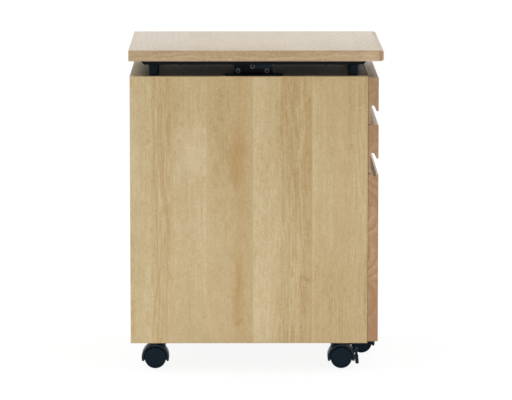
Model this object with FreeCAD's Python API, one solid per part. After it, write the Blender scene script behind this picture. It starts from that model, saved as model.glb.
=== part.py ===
import FreeCAD, Part
import math
import os

# Mobile drawer pedestal with a lift-up top, in millimetres.
# The origin is on the floor below the middle of the top board. +X is the drawer side,
# +Y is the right-hand side of a person facing the drawers, and +Z is up.

# Cabinet
CABINET_WIDTH = 395.0
CABINET_DEPTH = 419.0
CARCASS_HEIGHT = 476.0
PANEL = 18.0
BACK_PANEL = 12.0
EDGE_ROUND = 0.8

# Top board with its solid front lipping
TOP_THICKNESS = 19.0
TOP_SIDE_OVERHANG = 2.5
TOP_REAR_OVERHANG = 2.0
TOP_FRONT_OVERHANG = 9.0
LIPPING = 8.0
LIPPING_ROUND = 3.5
LIPPING_CORNER = 7.0

# Drawer fronts, with a finger groove under the upper two and a pull groove in the lowest
FRONT_THICKNESS = 18.0
FRONT_STANDOFF = 2.0
FRONT_SIDE_REVEAL = 1.0
FRONT_TOP_REVEAL = 2.0
FRONT_BOTTOM_REVEAL = 3.0
FRONT_GAP = 1.5
FRONT_ROUND = 1.2
TOP_FACE_HEIGHT = 60.0
MIDDLE_FACE_HEIGHT = 60.0
UPPER_FINGER_GAP = 24.0
LOWER_FINGER_GAP = 27.5
LIP_TIP = 3.5
LIP_ROOT = 8.0
LIP_RISE = 10.0
LIP_ROUND_SHARE = 0.42
TONGUE = 3.7
GROOVE_ROUND = 2.5
PULL_GROOVE_WIDTH = 10.0
PULL_GROOVE_DEPTH = 6.0
PULL_GROOVE_SETBACK = 9.0

# Drawer boxes
BOX_WALL = 12.0
BOX_BOTTOM = 4.0
BOX_BOTTOM_RISE = 6.0
BOX_DROP = 24.0
BOX_RISE = 8.0
BOX_REAR_ROOM = 29.0

# Telescopic slides of bent steel sheet
SLIDE_WIDTH = 12.7
SLIDE_SHEET = 1.2
SLIDE_RUNNING_GAP = 0.3
SLIDE_TIP_GAP = 1.7
SLIDE_WEB_GAP = 0.6
SMALL_SLIDE_HEIGHT = 35.0
LARGE_SLIDE_HEIGHT = 45.0
RAIL_SETBACK = 6.0
RUNNER_LENGTH_SHARE = 0.92
MIDDLE_RAIL_LENGTH_SHARE = 0.95

# Lift: crossed arms between a base channel and a frame under the top
LIFT_OFFSET = -4.5
LIFT_ANGLE_DEGREES = 30.0
ARM_HEIGHT = 9.0
ARM_THICKNESS = 3.0
ARM_GAP = 1.0
ARM_PLATE_GAP = 0.5
ARM_END_GAP = 4.0
BASE_SHEET = 2.0
BASE_WALL_OVER_PIVOT = 6.0
CHANNEL_WIDTH = 45.0
CHANNEL_SHEET = 2.0
CHANNEL_ARM_GAP = 2.0
CHANNEL_WALL_UNDER_PIVOT = 7.0
CHANNEL_END_OVER_ARM = 1.5
PIVOT_DIAMETER = 6.0
PIVOT_HEAD_DIAMETER = 9.6
PIVOT_HEAD = 1.2
LOWER_ROD_DIAMETER = 6.0
LOWER_ROD_PROUD = 1.5
UPPER_ROD_DIAMETER = 5.0
ROD_SLOT_GAP = 0.3
RUNNING_FIT = 0.05
SEAT_FIT = 0.02

# Frame bars and rest feet under the top
BAR_LENGTH = 398.0
BAR_WIDTH = 12.0
BAR_DEPTH = 8.0
BAR_SHEET = 1.5
BAR_CHAMFER = 5.5
BAR_END_FACE = 2.0
FOOT_INSET = 25.5
FOOT_SPACING = 352.0
FOOT_TOP_DIAMETER = 19.6
FOOT_BOTTOM_DIAMETER = 18.0
FOOT_ROUND = 0.8

# Latch plate and the locking lever on its cross shaft
LATCH_SHEET = 2.0
LATCH_SETBACK = 8.5
LATCH_WIDTH = 68.0
LATCH_FLANGE_WIDTH = 101.0
LATCH_FLANGE_REACH = 31.0
LATCH_OVER_SHAFT = 6.5
LATCH_SHIFT = -2.0
LATCH_SCREW_SHARE = 0.75
LATCH_SCREW_GAP = 0.3
LATCH_TAB_HEIGHT = 8.0
SCREW_HEAD_DIAMETER = 8.0
SCREW_HEAD = 1.6
SCREW_DIAMETER = 4.0
SCREW_PROUD = 1.0
BASE_SCREW_LENGTH = 12.0
BASE_SCREW_SPACING = 20.0
BASE_SCREW_PLACE_SHARE = 0.45
LOCK_SHAFT_DIAMETER = 4.0
LOCK_LUG_CLEARANCE = 0.6
LOCK_LUG_DROP = 1.9
LOCK_LUG_THICKNESS = 4.0
LOCK_LUG_REACH = 19.5
LOCK_LUG_TIP = 5.0
LOCK_LUG_WALL = 1.5
LOCK_RUN_GAP = 0.3
SHAFT_ROD_GAP = 1.0
SHAFT_TAB_GAP = 2.0
SHAFT_TAB_WIDTH = 10.0
SHAFT_TAB_OVER = 4.5
LEVER_THICKNESS = 2.2
LEVER_GAP = 0.4
LEVER_REACH = 37.0
LEVER_HEIGHT = 6.5
LEVER_HUB_DIAMETER = 9.0
LEVER_RISE = 3.0
RIVET_DIAMETER = 8.0
RIVET_HEAD = 1.5

# Twin-wheel hooded casters
WHEEL_DIAMETER = 38.4
WHEEL_WIDTH = 11.0
WHEEL_SIDE_GAP = 0.5
WHEEL_RIM_ROUND = 2.0
WHEEL_DISH = 0.9
WHEEL_DISH_SHARE = 0.78
WHEEL_RING = 0.9
AXLE_DIAMETER = 6.0
AXLE_COVER = 2.6
HOOD_GAP = 1.5
HOOD_WALL = 3.8
HOOD_WIDTH = 34.0
HOOD_WEB = 13.0
HOOD_SKIRT = 6.0
HOOD_ROUND = 1.0
BOSS_RISE = 4.0
BOSS_FOOT_RISE = 5.0
BOSS_DIAMETER = 13.0
STEM_DIAMETER = 8.0
STEM_OFFSET = 12.0
STEM_IN_HOOD = 17.0
STEM_IN_PANEL = 14.0
STEM_END_GAP = 0.3
COLLAR_DIAMETER = 15.0
COLLAR = 2.0
COLLAR_GAP = 0.3
STEM_SIDE_INSET = 43.5
STEM_REAR_INSET = 55.0
STEM_FRONT_INSET = 56.0
DRAWER_STEM_SETBACK = 11.0
DRAWER_CASTER_LIFT = 1.0

# Brake levers on the front casters
BRAKE_ANGLE_DEGREES = 24.0
BRAKE_PIVOT_STANDOFF = 4.6
BRAKE_HUB_DIAMETER = 6.0
BRAKE_PIN_DIAMETER = 2.6
BRAKE_EAR = 2.0
BRAKE_EAR_GAP = 0.3
BRAKE_EAR_DIAMETER = 6.4
BRAKE_WIDTH = 10.0
BRAKE_STRIP = 4.8
BRAKE_DROP = 22.0
BRAKE_LEAN = 2.4

# Cuts run past the faces that they open by this much
OVERRUN = 5.0
# Two places closer than this are the same place
SAME = 0.001

Vector = FreeCAD.Vector

# Places worked out from the driving dimensions
wheel_radius = WHEEL_DIAMETER / 2
hood_inner = wheel_radius + HOOD_GAP
hood_outer = hood_inner + HOOD_WALL
base_z = wheel_radius + hood_outer + BOSS_RISE + COLLAR_GAP + COLLAR
cabinet_top_z = base_z + CARCASS_HEIGHT

top_depth = TOP_REAR_OVERHANG + CABINET_DEPTH + FRONT_STANDOFF + FRONT_THICKNESS + TOP_FRONT_OVERHANG
top_half_width = CABINET_WIDTH / 2 + TOP_SIDE_OVERHANG
top_rear_x = -top_depth / 2
top_front_x = top_depth / 2
cabinet_rear_x = top_rear_x + TOP_REAR_OVERHANG
cabinet_front_x = cabinet_rear_x + CABINET_DEPTH
front_rear_x = cabinet_front_x + FRONT_STANDOFF
front_face_x = front_rear_x + FRONT_THICKNESS
cabinet_half = CABINET_WIDTH / 2
inner_half = cabinet_half - PANEL
front_half = cabinet_half - FRONT_SIDE_REVEAL

top_front_z = cabinet_top_z - FRONT_TOP_REVEAL
middle_front_z = top_front_z - TOP_FACE_HEIGHT - UPPER_FINGER_GAP
bottom_front_z = middle_front_z - MIDDLE_FACE_HEIGHT - LOWER_FINGER_GAP
front_foot_z = base_z + FRONT_BOTTOM_REVEAL

box_half = inner_half - SLIDE_WIDTH
box_rear_x = cabinet_rear_x + BACK_PANEL + BOX_REAR_ROOM
box_length = front_rear_x - box_rear_x
rail_front_x = cabinet_front_x - RAIL_SETBACK

pivot_base_z = cabinet_top_z + BASE_SHEET + ARM_PLATE_GAP + ARM_HEIGHT / 2
shaft_z = (pivot_base_z + LOWER_ROD_DIAMETER / 2 + LOCK_LUG_CLEARANCE + LOCK_LUG_DROP
           + LOCK_SHAFT_DIAMETER / 2)
pivot_top_z = shaft_z + LOCK_SHAFT_DIAMETER / 2 + SHAFT_ROD_GAP + UPPER_ROD_DIAMETER / 2
board_z = pivot_top_z + ARM_HEIGHT / 2 + ARM_PLATE_GAP + CHANNEL_SHEET
board_top_z = board_z + TOP_THICKNESS

bar_y = cabinet_half - FOOT_INSET
bar_inner_y = bar_y - BAR_WIDTH / 2
latch_face_y = -(bar_inner_y - LATCH_SETBACK)
latch_back_y = latch_face_y + LATCH_SHEET
tab_back_y = latch_back_y + BASE_SHEET
pivot_y = -(tab_back_y + ARM_END_GAP + ARM_HEIGHT / 2)
rod_rest_y = -pivot_y
rest_rise = pivot_top_z - pivot_base_z
arm_length = math.hypot(2 * pivot_y, rest_rise)
rest_angle = math.asin(rest_rise / arm_length)
raised_angle = rest_angle + math.radians(LIFT_ANGLE_DEGREES)
rod_raised_y = pivot_y - arm_length * math.cos(raised_angle)
arm_end_y = pivot_y + ARM_HEIGHT / 2

channel_half = CHANNEL_WIDTH / 2
inner_arm_x = channel_half + CHANNEL_ARM_GAP
outer_arm_x = inner_arm_x + ARM_THICKNESS + ARM_GAP
base_wall_x = outer_arm_x + ARM_THICKNESS + ARM_GAP
base_half = base_wall_x + BASE_SHEET

shaft_x = LIFT_OFFSET + LATCH_SHIFT
lever_back_y = latch_face_y - SCREW_HEAD - LEVER_GAP
lever_face_y = lever_back_y - LEVER_THICKNESS
lug_face_y = rod_raised_y - LOWER_ROD_DIAMETER / 2 - LOCK_RUN_GAP
shaft_tab_y = rod_raised_y + LOWER_ROD_DIAMETER / 2 + SHAFT_TAB_GAP


def block(x, y, z):
    """Box between two limits along each axis."""
    return Part.makeBox(x[1] - x[0], y[1] - y[0], z[1] - z[0], Vector(x[0], y[0], z[0]))


def rod_x(x, y, z, radius):
    """Round bar along X between two limits."""
    return Part.makeCylinder(radius, x[1] - x[0], Vector(x[0], y, z), Vector(1, 0, 0))


def rod_y(x, y, z, radius):
    """Round bar along Y between two limits."""
    return Part.makeCylinder(radius, y[1] - y[0], Vector(x, y[0], z), Vector(0, 1, 0))


def rod_z(x, y, z, radius):
    """Round bar along Z between two limits."""
    return Part.makeCylinder(radius, z[1] - z[0], Vector(x, y, z[0]), Vector(0, 0, 1))


def prism_y(points, y):
    """Outline in X and Z, run along Y between two limits."""
    corners = [Vector(px, y[0], pz) for px, pz in points]
    face = Part.Face(Part.makePolygon(corners + corners[:1]))
    return face.extrude(Vector(0, y[1] - y[0], 0))


def prism_x(points, x):
    """Outline in Y and Z, run along X between two limits."""
    corners = [Vector(x[0], py, pz) for py, pz in points]
    face = Part.Face(Part.makePolygon(corners + corners[:1]))
    return face.extrude(Vector(x[1] - x[0], 0, 0))


def fused(first, *others):
    """One solid out of pieces that are made as one."""
    return first.multiFuse(list(others)).removeSplitter()


def about_lift(side, near, far):
    """Limits along X at two distances from the lift's centre line, on one side of it."""
    return sorted((LIFT_OFFSET + side * near, LIFT_OFFSET + side * far))


def lies(edge, x=None, y=None, z=None):
    """Whether an edge lies wholly at the given coordinates."""
    box = edge.BoundBox
    spans = ((x, box.XMin, box.XMax), (y, box.YMin, box.YMax), (z, box.ZMin, box.ZMax))
    return all(at is None or (abs(low - at) < SAME and abs(high - at) < SAME) for at, low, high in spans)


def rounded(shape, radius, chosen):
    """Fillet on the edges that pass a test."""
    return shape.makeFillet(radius, [edge for edge in shape.Edges if chosen(edge)])


def save(node, *solids):
    """One STEP file for a node, of one solid or of several like ones."""
    shape = solids[0] if len(solids) == 1 else Part.makeCompound(list(solids))
    shape.exportStep("parts/" + node + ".step")


def both_sides(shape):
    """A right-hand piece and its left-hand twin."""
    return shape, shape.mirror(Vector(0, 0, 0), Vector(0, 1, 0))


def corner_stems():
    """Places of the four corner casters: name, stem X, stem Y and the way that the wheels trail."""
    rear_x = cabinet_rear_x + STEM_REAR_INSET
    front_x = cabinet_front_x - STEM_FRONT_INSET
    side_y = cabinet_half - STEM_SIDE_INSET
    return (
        ("rear_left", rear_x, -side_y, -1),
        ("rear_right", rear_x, side_y, -1),
        ("front_left", front_x, -side_y, 1),
        ("front_right", front_x, side_y, 1),
    )


def base_screw_places():
    """Places of the four screws that hold the lift's base on the cabinet."""
    reach = BASE_SCREW_PLACE_SHARE * pivot_y
    return [(LIFT_OFFSET + along * BASE_SCREW_SPACING / 2, across * reach)
            for along in (-1, 1) for across in (-1, 1)]


def make_cabinet():
    """Five panels: sides to full height, with top, bottom and back between them."""
    depth = (cabinet_rear_x, cabinet_front_x)
    span = (-inner_half, inner_half)
    side = block(depth, (inner_half, cabinet_half), (base_z, cabinet_top_z))
    side = rounded(side, EDGE_ROUND, lambda edge: lies(edge, y=cabinet_half))
    right, left = both_sides(side)
    save("right_side_panel", right)
    save("left_side_panel", left)

    lid = block(depth, span, (cabinet_top_z - PANEL, cabinet_top_z))
    for x, y in base_screw_places():
        lid = lid.cut(rod_z(x, y, (cabinet_top_z - BASE_SCREW_LENGTH, cabinet_top_z + OVERRUN),
                            SCREW_DIAMETER / 2 + SEAT_FIT))
    save("cabinet_top", lid)

    floor = block(depth, span, (base_z, base_z + PANEL))
    for name, x, y, trail in corner_stems():
        floor = floor.cut(rod_z(x, y, (base_z - OVERRUN, base_z + STEM_IN_PANEL + STEM_END_GAP),
                                STEM_DIAMETER / 2 + SEAT_FIT))
    save("bottom_panel", floor)
    save("back_panel", block((cabinet_rear_x, cabinet_rear_x + BACK_PANEL), span,
                             (base_z + PANEL, cabinet_top_z - PANEL)))


def grooved_front(top_z, face_height, foot_z):
    """Drawer front whose lower edge is undercut, leaving a lip in front and a tongue behind."""
    lip_z = top_z - face_height
    apex_z = lip_z + LIP_RISE
    wall_x = front_rear_x + TONGUE
    tip_x = front_face_x - LIP_TIP
    root_x = front_face_x - LIP_ROOT
    outline = (
        (front_rear_x, foot_z), (front_rear_x, top_z), (front_face_x, top_z), (front_face_x, lip_z),
        (tip_x, lip_z), (root_x, apex_z), (wall_x, apex_z), (wall_x, foot_z),
    )
    front = prism_y(outline, (-front_half, front_half))
    front = rounded(front, GROOVE_ROUND, lambda edge: lies(edge, z=apex_z)
                    and (lies(edge, x=root_x) or lies(edge, x=wall_x)))
    front = rounded(front, LIP_TIP * LIP_ROUND_SHARE, lambda edge: lies(edge, z=lip_z)
                    and (lies(edge, x=tip_x) or lies(edge, x=front_face_x)))
    return rounded(front, FRONT_ROUND, lambda edge: lies(edge, x=front_face_x, z=top_z))


def bottom_front():
    """Deep front with a pull groove along its top edge and a seat for its caster's stem."""
    front = block((front_rear_x, front_face_x), (-front_half, front_half), (front_foot_z, bottom_front_z))
    front = rounded(front, FRONT_ROUND, lambda edge: lies(edge, x=front_face_x)
                    and (lies(edge, z=bottom_front_z) or lies(edge, z=front_foot_z)))
    groove_x = front_face_x - PULL_GROOVE_SETBACK
    groove_radius = PULL_GROOVE_WIDTH / 2
    groove_z = bottom_front_z - PULL_GROOVE_DEPTH + groove_radius
    run = (-front_half - OVERRUN, front_half + OVERRUN)
    mouth = block((groove_x - groove_radius, groove_x + groove_radius), run,
                  (groove_z, bottom_front_z + OVERRUN))
    seat = rod_z(front_face_x - DRAWER_STEM_SETBACK, 0,
                 (front_foot_z - OVERRUN, front_foot_z + STEM_IN_PANEL + STEM_END_GAP),
                 STEM_DIAMETER / 2 + SEAT_FIT)
    return front.cut(fused(mouth, rod_y(groove_x, run, groove_z, groove_radius))).cut(seat)


def slide_channel(web, tip_y, half_height, middle_z, x):
    """Right-hand channel of a slide: an upright web with a flange at its top and bottom."""
    web_y, web_inside_y = web
    inside = half_height - SLIDE_SHEET
    outline = (
        (web_y, middle_z + half_height), (tip_y, middle_z + half_height), (tip_y, middle_z + inside),
        (web_inside_y, middle_z + inside), (web_inside_y, middle_z - inside), (tip_y, middle_z - inside),
        (tip_y, middle_z - half_height), (web_y, middle_z - half_height),
    )
    return prism_x(outline, x)


def make_slides(name, middle_z, height, has_middle_rail):
    """Pairs of nested channels that carry one drawer."""
    half = height / 2
    step = SLIDE_SHEET + SLIDE_RUNNING_GAP
    tip_y = box_half + SLIDE_TIP_GAP
    web_y = inner_half
    rail = slide_channel((web_y, web_y - SLIDE_SHEET), tip_y, half, middle_z,
                         (rail_front_x - box_length, rail_front_x))
    save(name + "_drawer_fixed_rails", *both_sides(rail))
    if has_middle_rail:
        half = half - step
        web_y = web_y - SLIDE_SHEET - SLIDE_WEB_GAP
        length = box_length * MIDDLE_RAIL_LENGTH_SHARE
        middle = slide_channel((web_y, web_y - SLIDE_SHEET), tip_y, half, middle_z,
                               (box_rear_x, box_rear_x + length))
        save(name + "_drawer_middle_rails", *both_sides(middle))
    half = half - step
    reach_y = web_y - SLIDE_SHEET - SLIDE_WEB_GAP
    runner = slide_channel((box_half, box_half + SLIDE_SHEET), reach_y, half, middle_z,
                           (box_rear_x, box_rear_x + box_length * RUNNER_LENGTH_SHARE))
    save(name + "_drawer_runners", *both_sides(runner))


def make_drawer(name, front, box_z, slide_height, has_middle_rail):
    """Front, two sides, back and bottom of one drawer, with its slides."""
    low_z, high_z = box_z
    inside = box_half - BOX_WALL
    save(name + "_drawer_front", front)
    right, left = both_sides(block((box_rear_x, front_rear_x), (inside, box_half), box_z))
    save(name + "_drawer_right_side", right)
    save(name + "_drawer_left_side", left)
    save(name + "_drawer_back", block((box_rear_x, box_rear_x + BOX_WALL), (-inside, inside), box_z))
    floor_z = low_z + BOX_BOTTOM_RISE
    save(name + "_drawer_bottom", block((box_rear_x + BOX_WALL, front_rear_x), (-inside, inside),
                                        (floor_z, floor_z + BOX_BOTTOM)))
    make_slides(name, (low_z + high_z) / 2, slide_height, has_middle_rail)


def make_drawers():
    """Two shallow drawers over one deep one."""
    top_foot_z = middle_front_z + FRONT_GAP
    middle_foot_z = bottom_front_z + FRONT_GAP
    make_drawer("top", grooved_front(top_front_z, TOP_FACE_HEIGHT, top_foot_z),
                (top_foot_z + BOX_RISE, top_front_z - BOX_DROP), SMALL_SLIDE_HEIGHT, False)
    make_drawer("middle", grooved_front(middle_front_z, MIDDLE_FACE_HEIGHT, middle_foot_z),
                (middle_foot_z + BOX_RISE, middle_front_z - BOX_DROP), SMALL_SLIDE_HEIGHT, False)
    make_drawer("bottom", bottom_front(), (base_z + PANEL + BOX_RISE, bottom_front_z - BOX_DROP),
                LARGE_SLIDE_HEIGHT, True)


def make_top():
    """Veneered board and the solid lipping along its front edge."""
    seam_x = top_front_x - LIPPING
    board = block((top_rear_x, seam_x), (-top_half_width, top_half_width), (board_z, board_top_z))
    board = rounded(board, EDGE_ROUND, lambda edge: not lies(edge, x=seam_x)
                    and (lies(edge, x=top_rear_x) or lies(edge, y=top_half_width)
                         or lies(edge, y=-top_half_width)))
    save("top_board", board)
    lipping = block((seam_x, top_front_x), (-top_half_width, top_half_width), (board_z, board_top_z))
    lipping = rounded(lipping, LIPPING_CORNER, lambda edge: lies(edge, x=top_front_x, y=top_half_width)
                      or lies(edge, x=top_front_x, y=-top_half_width))
    lipping = rounded(lipping, LIPPING_ROUND, lambda edge: not lies(edge, x=seam_x)
                      and (lies(edge, z=board_z) or lies(edge, z=board_top_z)))
    save("top_lipping", lipping)


def arm(start, end, x, bores):
    """Flat bar with round ends from one pivot to another, in Y and Z, with cross holes."""
    radius = ARM_HEIGHT / 2
    (y0, z0), (y1, z1) = start, end
    length = math.hypot(y1 - y0, z1 - z0)
    along = Vector(0, (y1 - y0) / length, (z1 - z0) / length)
    across = Vector(0, -along.z, along.y)
    first, last = Vector(x[0], y0, z0), Vector(x[0], y1, z1)
    side = across * radius
    tip = along * radius
    edges = (
        Part.makeLine(first + side, last + side),
        Part.Arc(last + side, last + tip, last - side).toShape(),
        Part.makeLine(last - side, first - side),
        Part.Arc(first - side, first - tip, first + side).toShape(),
    )
    bar = Part.Face(Part.Wire(edges)).extrude(Vector(x[1] - x[0], 0, 0))
    past = (x[0] - OVERRUN, x[1] + OVERRUN)
    for (y, z), bore_radius in bores:
        bar = bar.cut(rod_x(past, y, z, bore_radius))
    return bar


def pivot_pin(side, limits, head, place, shoulder=None):
    """Pin across X with a flat head and, where its arm stands off, a shoulder as a spacer."""
    y, z = place
    pin = fused(rod_x(about_lift(side, *limits), y, z, PIVOT_DIAMETER / 2),
                rod_x(about_lift(side, *head), y, z, PIVOT_HEAD_DIAMETER / 2))
    if shoulder:
        pin = fused(pin, rod_x(about_lift(side, *shoulder), y, z, PIVOT_HEAD_DIAMETER / 2))
    return pin


def make_arms():
    """Two pairs of crossed arms with their pins and sliding rods."""
    base_pivot = (pivot_y, pivot_base_z)
    top_pivot = (pivot_y, pivot_top_z)
    lower_end = (rod_rest_y, pivot_base_z)
    upper_end = (rod_rest_y, pivot_top_z)
    crossing = (0, (pivot_base_z + pivot_top_z) / 2)
    running = PIVOT_DIAMETER / 2 + RUNNING_FIT
    seated = PIVOT_DIAMETER / 2 + SEAT_FIT
    outer_limits = (outer_arm_x, outer_arm_x + ARM_THICKNESS)
    inner_limits = (inner_arm_x, inner_arm_x + ARM_THICKNESS)
    outer_bores = ((base_pivot, running), (crossing, seated),
                   (upper_end, UPPER_ROD_DIAMETER / 2 + SEAT_FIT))
    inner_bores = ((top_pivot, running), (crossing, running),
                   (lower_end, LOWER_ROD_DIAMETER / 2 + SEAT_FIT))
    sides = (-1, 1)
    save("outer_arms", *[arm(base_pivot, upper_end, about_lift(side, *outer_limits), outer_bores)
                         for side in sides])
    save("inner_arms", *[arm(lower_end, top_pivot, about_lift(side, *inner_limits), inner_bores)
                         for side in sides])

    save("base_pivot_pins", *[
        pivot_pin(side, (outer_arm_x - RUNNING_FIT, base_half + PIVOT_HEAD),
                  (base_half, base_half + PIVOT_HEAD), base_pivot)
        for side in sides])
    head_x = inner_arm_x - ROD_SLOT_GAP
    save("centre_pins", *[
        pivot_pin(side, (head_x - PIVOT_HEAD, outer_limits[1]), (head_x - PIVOT_HEAD, head_x), crossing)
        for side in sides])
    wall_inside = channel_half - CHANNEL_SHEET
    save("top_pivot_pins", *[
        pivot_pin(side, (wall_inside - PIVOT_HEAD, inner_limits[1] + RUNNING_FIT),
                  (wall_inside - PIVOT_HEAD, wall_inside), top_pivot, (channel_half, head_x))
        for side in sides])

    upper_reach = outer_limits[1]
    save("upper_slide_rod", rod_x((LIFT_OFFSET - upper_reach, LIFT_OFFSET + upper_reach), *upper_end,
                                  UPPER_ROD_DIAMETER / 2))
    lower_reach = base_half + LOWER_ROD_PROUD
    save("lower_slide_rod", rod_x((LIFT_OFFSET - lower_reach, LIFT_OFFSET + lower_reach), *lower_end,
                                  LOWER_ROD_DIAMETER / 2))


def rod_slot(x, z, diameter):
    """Long hole in which a sliding rod runs from its rest place to its raised place."""
    radius = diameter / 2 + ROD_SLOT_GAP
    return fused(block(x, (rod_rest_y, rod_raised_y), (z - radius, z + radius)),
                 rod_x(x, rod_rest_y, z, radius), rod_x(x, rod_raised_y, z, radius))


def make_lift_base():
    """Base channel on the cabinet, with its end tab, shaft tab, slots and fixing screws."""
    floor_z = cabinet_top_z + BASE_SHEET
    ends = (tab_back_y - BASE_SHEET, -tab_back_y)
    base = block((LIFT_OFFSET - base_half, LIFT_OFFSET + base_half), ends, (cabinet_top_z, floor_z))
    walls = [block(about_lift(side, base_wall_x, base_half), (-arm_end_y, arm_end_y),
                   (floor_z, pivot_base_z + BASE_WALL_OVER_PIVOT)) for side in (-1, 1)]
    end_tab = block((LIFT_OFFSET - LATCH_WIDTH / 2, LIFT_OFFSET + LATCH_WIDTH / 2),
                    (tab_back_y - BASE_SHEET, tab_back_y), (floor_z, floor_z + LATCH_TAB_HEIGHT))
    shaft_tab = block((shaft_x - SHAFT_TAB_WIDTH / 2, shaft_x + SHAFT_TAB_WIDTH / 2),
                      (shaft_tab_y, shaft_tab_y + BASE_SHEET), (floor_z, shaft_z + SHAFT_TAB_OVER))
    base = fused(base, end_tab, shaft_tab, *walls)
    across = (LIFT_OFFSET - base_half - OVERRUN, LIFT_OFFSET + base_half + OVERRUN)
    base = base.cut(rod_slot(across, pivot_base_z, LOWER_ROD_DIAMETER))
    base = base.cut(rod_x(across, pivot_y, pivot_base_z, PIVOT_DIAMETER / 2 + SEAT_FIT))
    base = base.cut(rod_y(shaft_x, (shaft_tab_y - OVERRUN, shaft_tab_y + OVERRUN), shaft_z,
                          LOCK_SHAFT_DIAMETER / 2 + RUNNING_FIT))
    for x in latch_screw_places():
        base = base.cut(rod_y(x, (latch_face_y, tab_back_y + OVERRUN), latch_screw_z(),
                              SCREW_DIAMETER / 2 + SEAT_FIT))
    screws = []
    for x, y in base_screw_places():
        base = base.cut(rod_z(x, y, (cabinet_top_z - OVERRUN, floor_z + OVERRUN),
                              SCREW_DIAMETER / 2 + SEAT_FIT))
        shank = rod_z(x, y, (cabinet_top_z - BASE_SCREW_LENGTH, floor_z), SCREW_DIAMETER / 2)
        screws.append(fused(shank, rod_z(x, y, (floor_z, floor_z + SCREW_HEAD), SCREW_HEAD_DIAMETER / 2)))
    save("lift_base", base)
    save("lift_base_screws", *screws)


def latch_screw_places():
    """X of the two screws that hold the latch plate."""
    return [shaft_x + side * LATCH_WIDTH * LATCH_SCREW_SHARE / 2 for side in (-1, 1)]


def latch_screw_z():
    """Height of the latch plate's screws."""
    return cabinet_top_z + LATCH_SHEET + LATCH_SCREW_GAP + SCREW_HEAD_DIAMETER / 2


def make_latch():
    """Angle plate at the near end of the lift, its screws, and the lever that locks the lift."""
    floor_z = cabinet_top_z + LATCH_SHEET
    flange = block((LIFT_OFFSET - LATCH_FLANGE_WIDTH / 2, LIFT_OFFSET + LATCH_FLANGE_WIDTH / 2),
                   (latch_back_y - LATCH_SHEET - LATCH_FLANGE_REACH, latch_back_y), (cabinet_top_z, floor_z))
    upright = block((LIFT_OFFSET - LATCH_WIDTH / 2, LIFT_OFFSET + LATCH_WIDTH / 2),
                    (latch_face_y, latch_back_y), (floor_z, shaft_z + LATCH_OVER_SHAFT))
    plate = fused(flange, upright)
    through = (latch_face_y - OVERRUN, latch_back_y + OVERRUN)
    plate = plate.cut(rod_y(shaft_x, through, shaft_z, LOCK_SHAFT_DIAMETER / 2 + RUNNING_FIT))
    screws = []
    for x in latch_screw_places():
        plate = plate.cut(rod_y(x, through, latch_screw_z(), SCREW_DIAMETER / 2 + SEAT_FIT))
        shank = rod_y(x, (latch_face_y, tab_back_y + SCREW_PROUD), latch_screw_z(), SCREW_DIAMETER / 2)
        head = rod_y(x, (latch_face_y - SCREW_HEAD, latch_face_y), latch_screw_z(), SCREW_HEAD_DIAMETER / 2)
        screws.append(fused(shank, head))
    save("latch_plate", plate)
    save("latch_screws", *screws)

    lever_top_z = shaft_z + LEVER_RISE
    grip = block((shaft_x, shaft_x + LEVER_REACH), (lever_face_y, lever_back_y),
                 (lever_top_z - LEVER_HEIGHT, lever_top_z))
    grip = rounded(grip, LEVER_HEIGHT * LIP_ROUND_SHARE, lambda edge: lies(edge, x=shaft_x + LEVER_REACH)
                   and (lies(edge, z=lever_top_z) or lies(edge, z=lever_top_z - LEVER_HEIGHT)))
    hub = rod_y(shaft_x, (lever_face_y, latch_face_y - LOCK_RUN_GAP), shaft_z, LEVER_HUB_DIAMETER / 2)
    lever = fused(grip, hub)
    bore = (lever_face_y - OVERRUN, latch_face_y + OVERRUN)
    save("lock_lever", lever.cut(rod_y(shaft_x, bore, shaft_z, LOCK_SHAFT_DIAMETER / 2 + SEAT_FIT)))

    shaft = rod_y(shaft_x, (lever_face_y, shaft_tab_y + BASE_SHEET + SCREW_PROUD), shaft_z,
                  LOCK_SHAFT_DIAMETER / 2)
    rivet = rod_y(shaft_x, (lever_face_y - RIVET_HEAD, lever_face_y), shaft_z, RIVET_DIAMETER / 2)
    lug_y = (lug_face_y - LOCK_LUG_THICKNESS, lug_face_y)
    lug_radius = LOCK_SHAFT_DIAMETER / 2 + LOCK_LUG_WALL
    tip_x = shaft_x + LOCK_LUG_REACH
    tip_z = shaft_z - LOCK_SHAFT_DIAMETER / 2 - LOCK_LUG_DROP
    half_arm = LOCK_SHAFT_DIAMETER / 2
    finger = prism_y(((shaft_x, shaft_z + half_arm), (tip_x, shaft_z + half_arm), (tip_x, tip_z),
                      (tip_x - LOCK_LUG_TIP, tip_z), (tip_x - LOCK_LUG_TIP, shaft_z - half_arm),
                      (shaft_x, shaft_z - half_arm)), lug_y)
    lug = fused(rod_y(shaft_x, lug_y, shaft_z, lug_radius), finger)
    save("lock_shaft", fused(shaft, rivet, lug))


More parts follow.
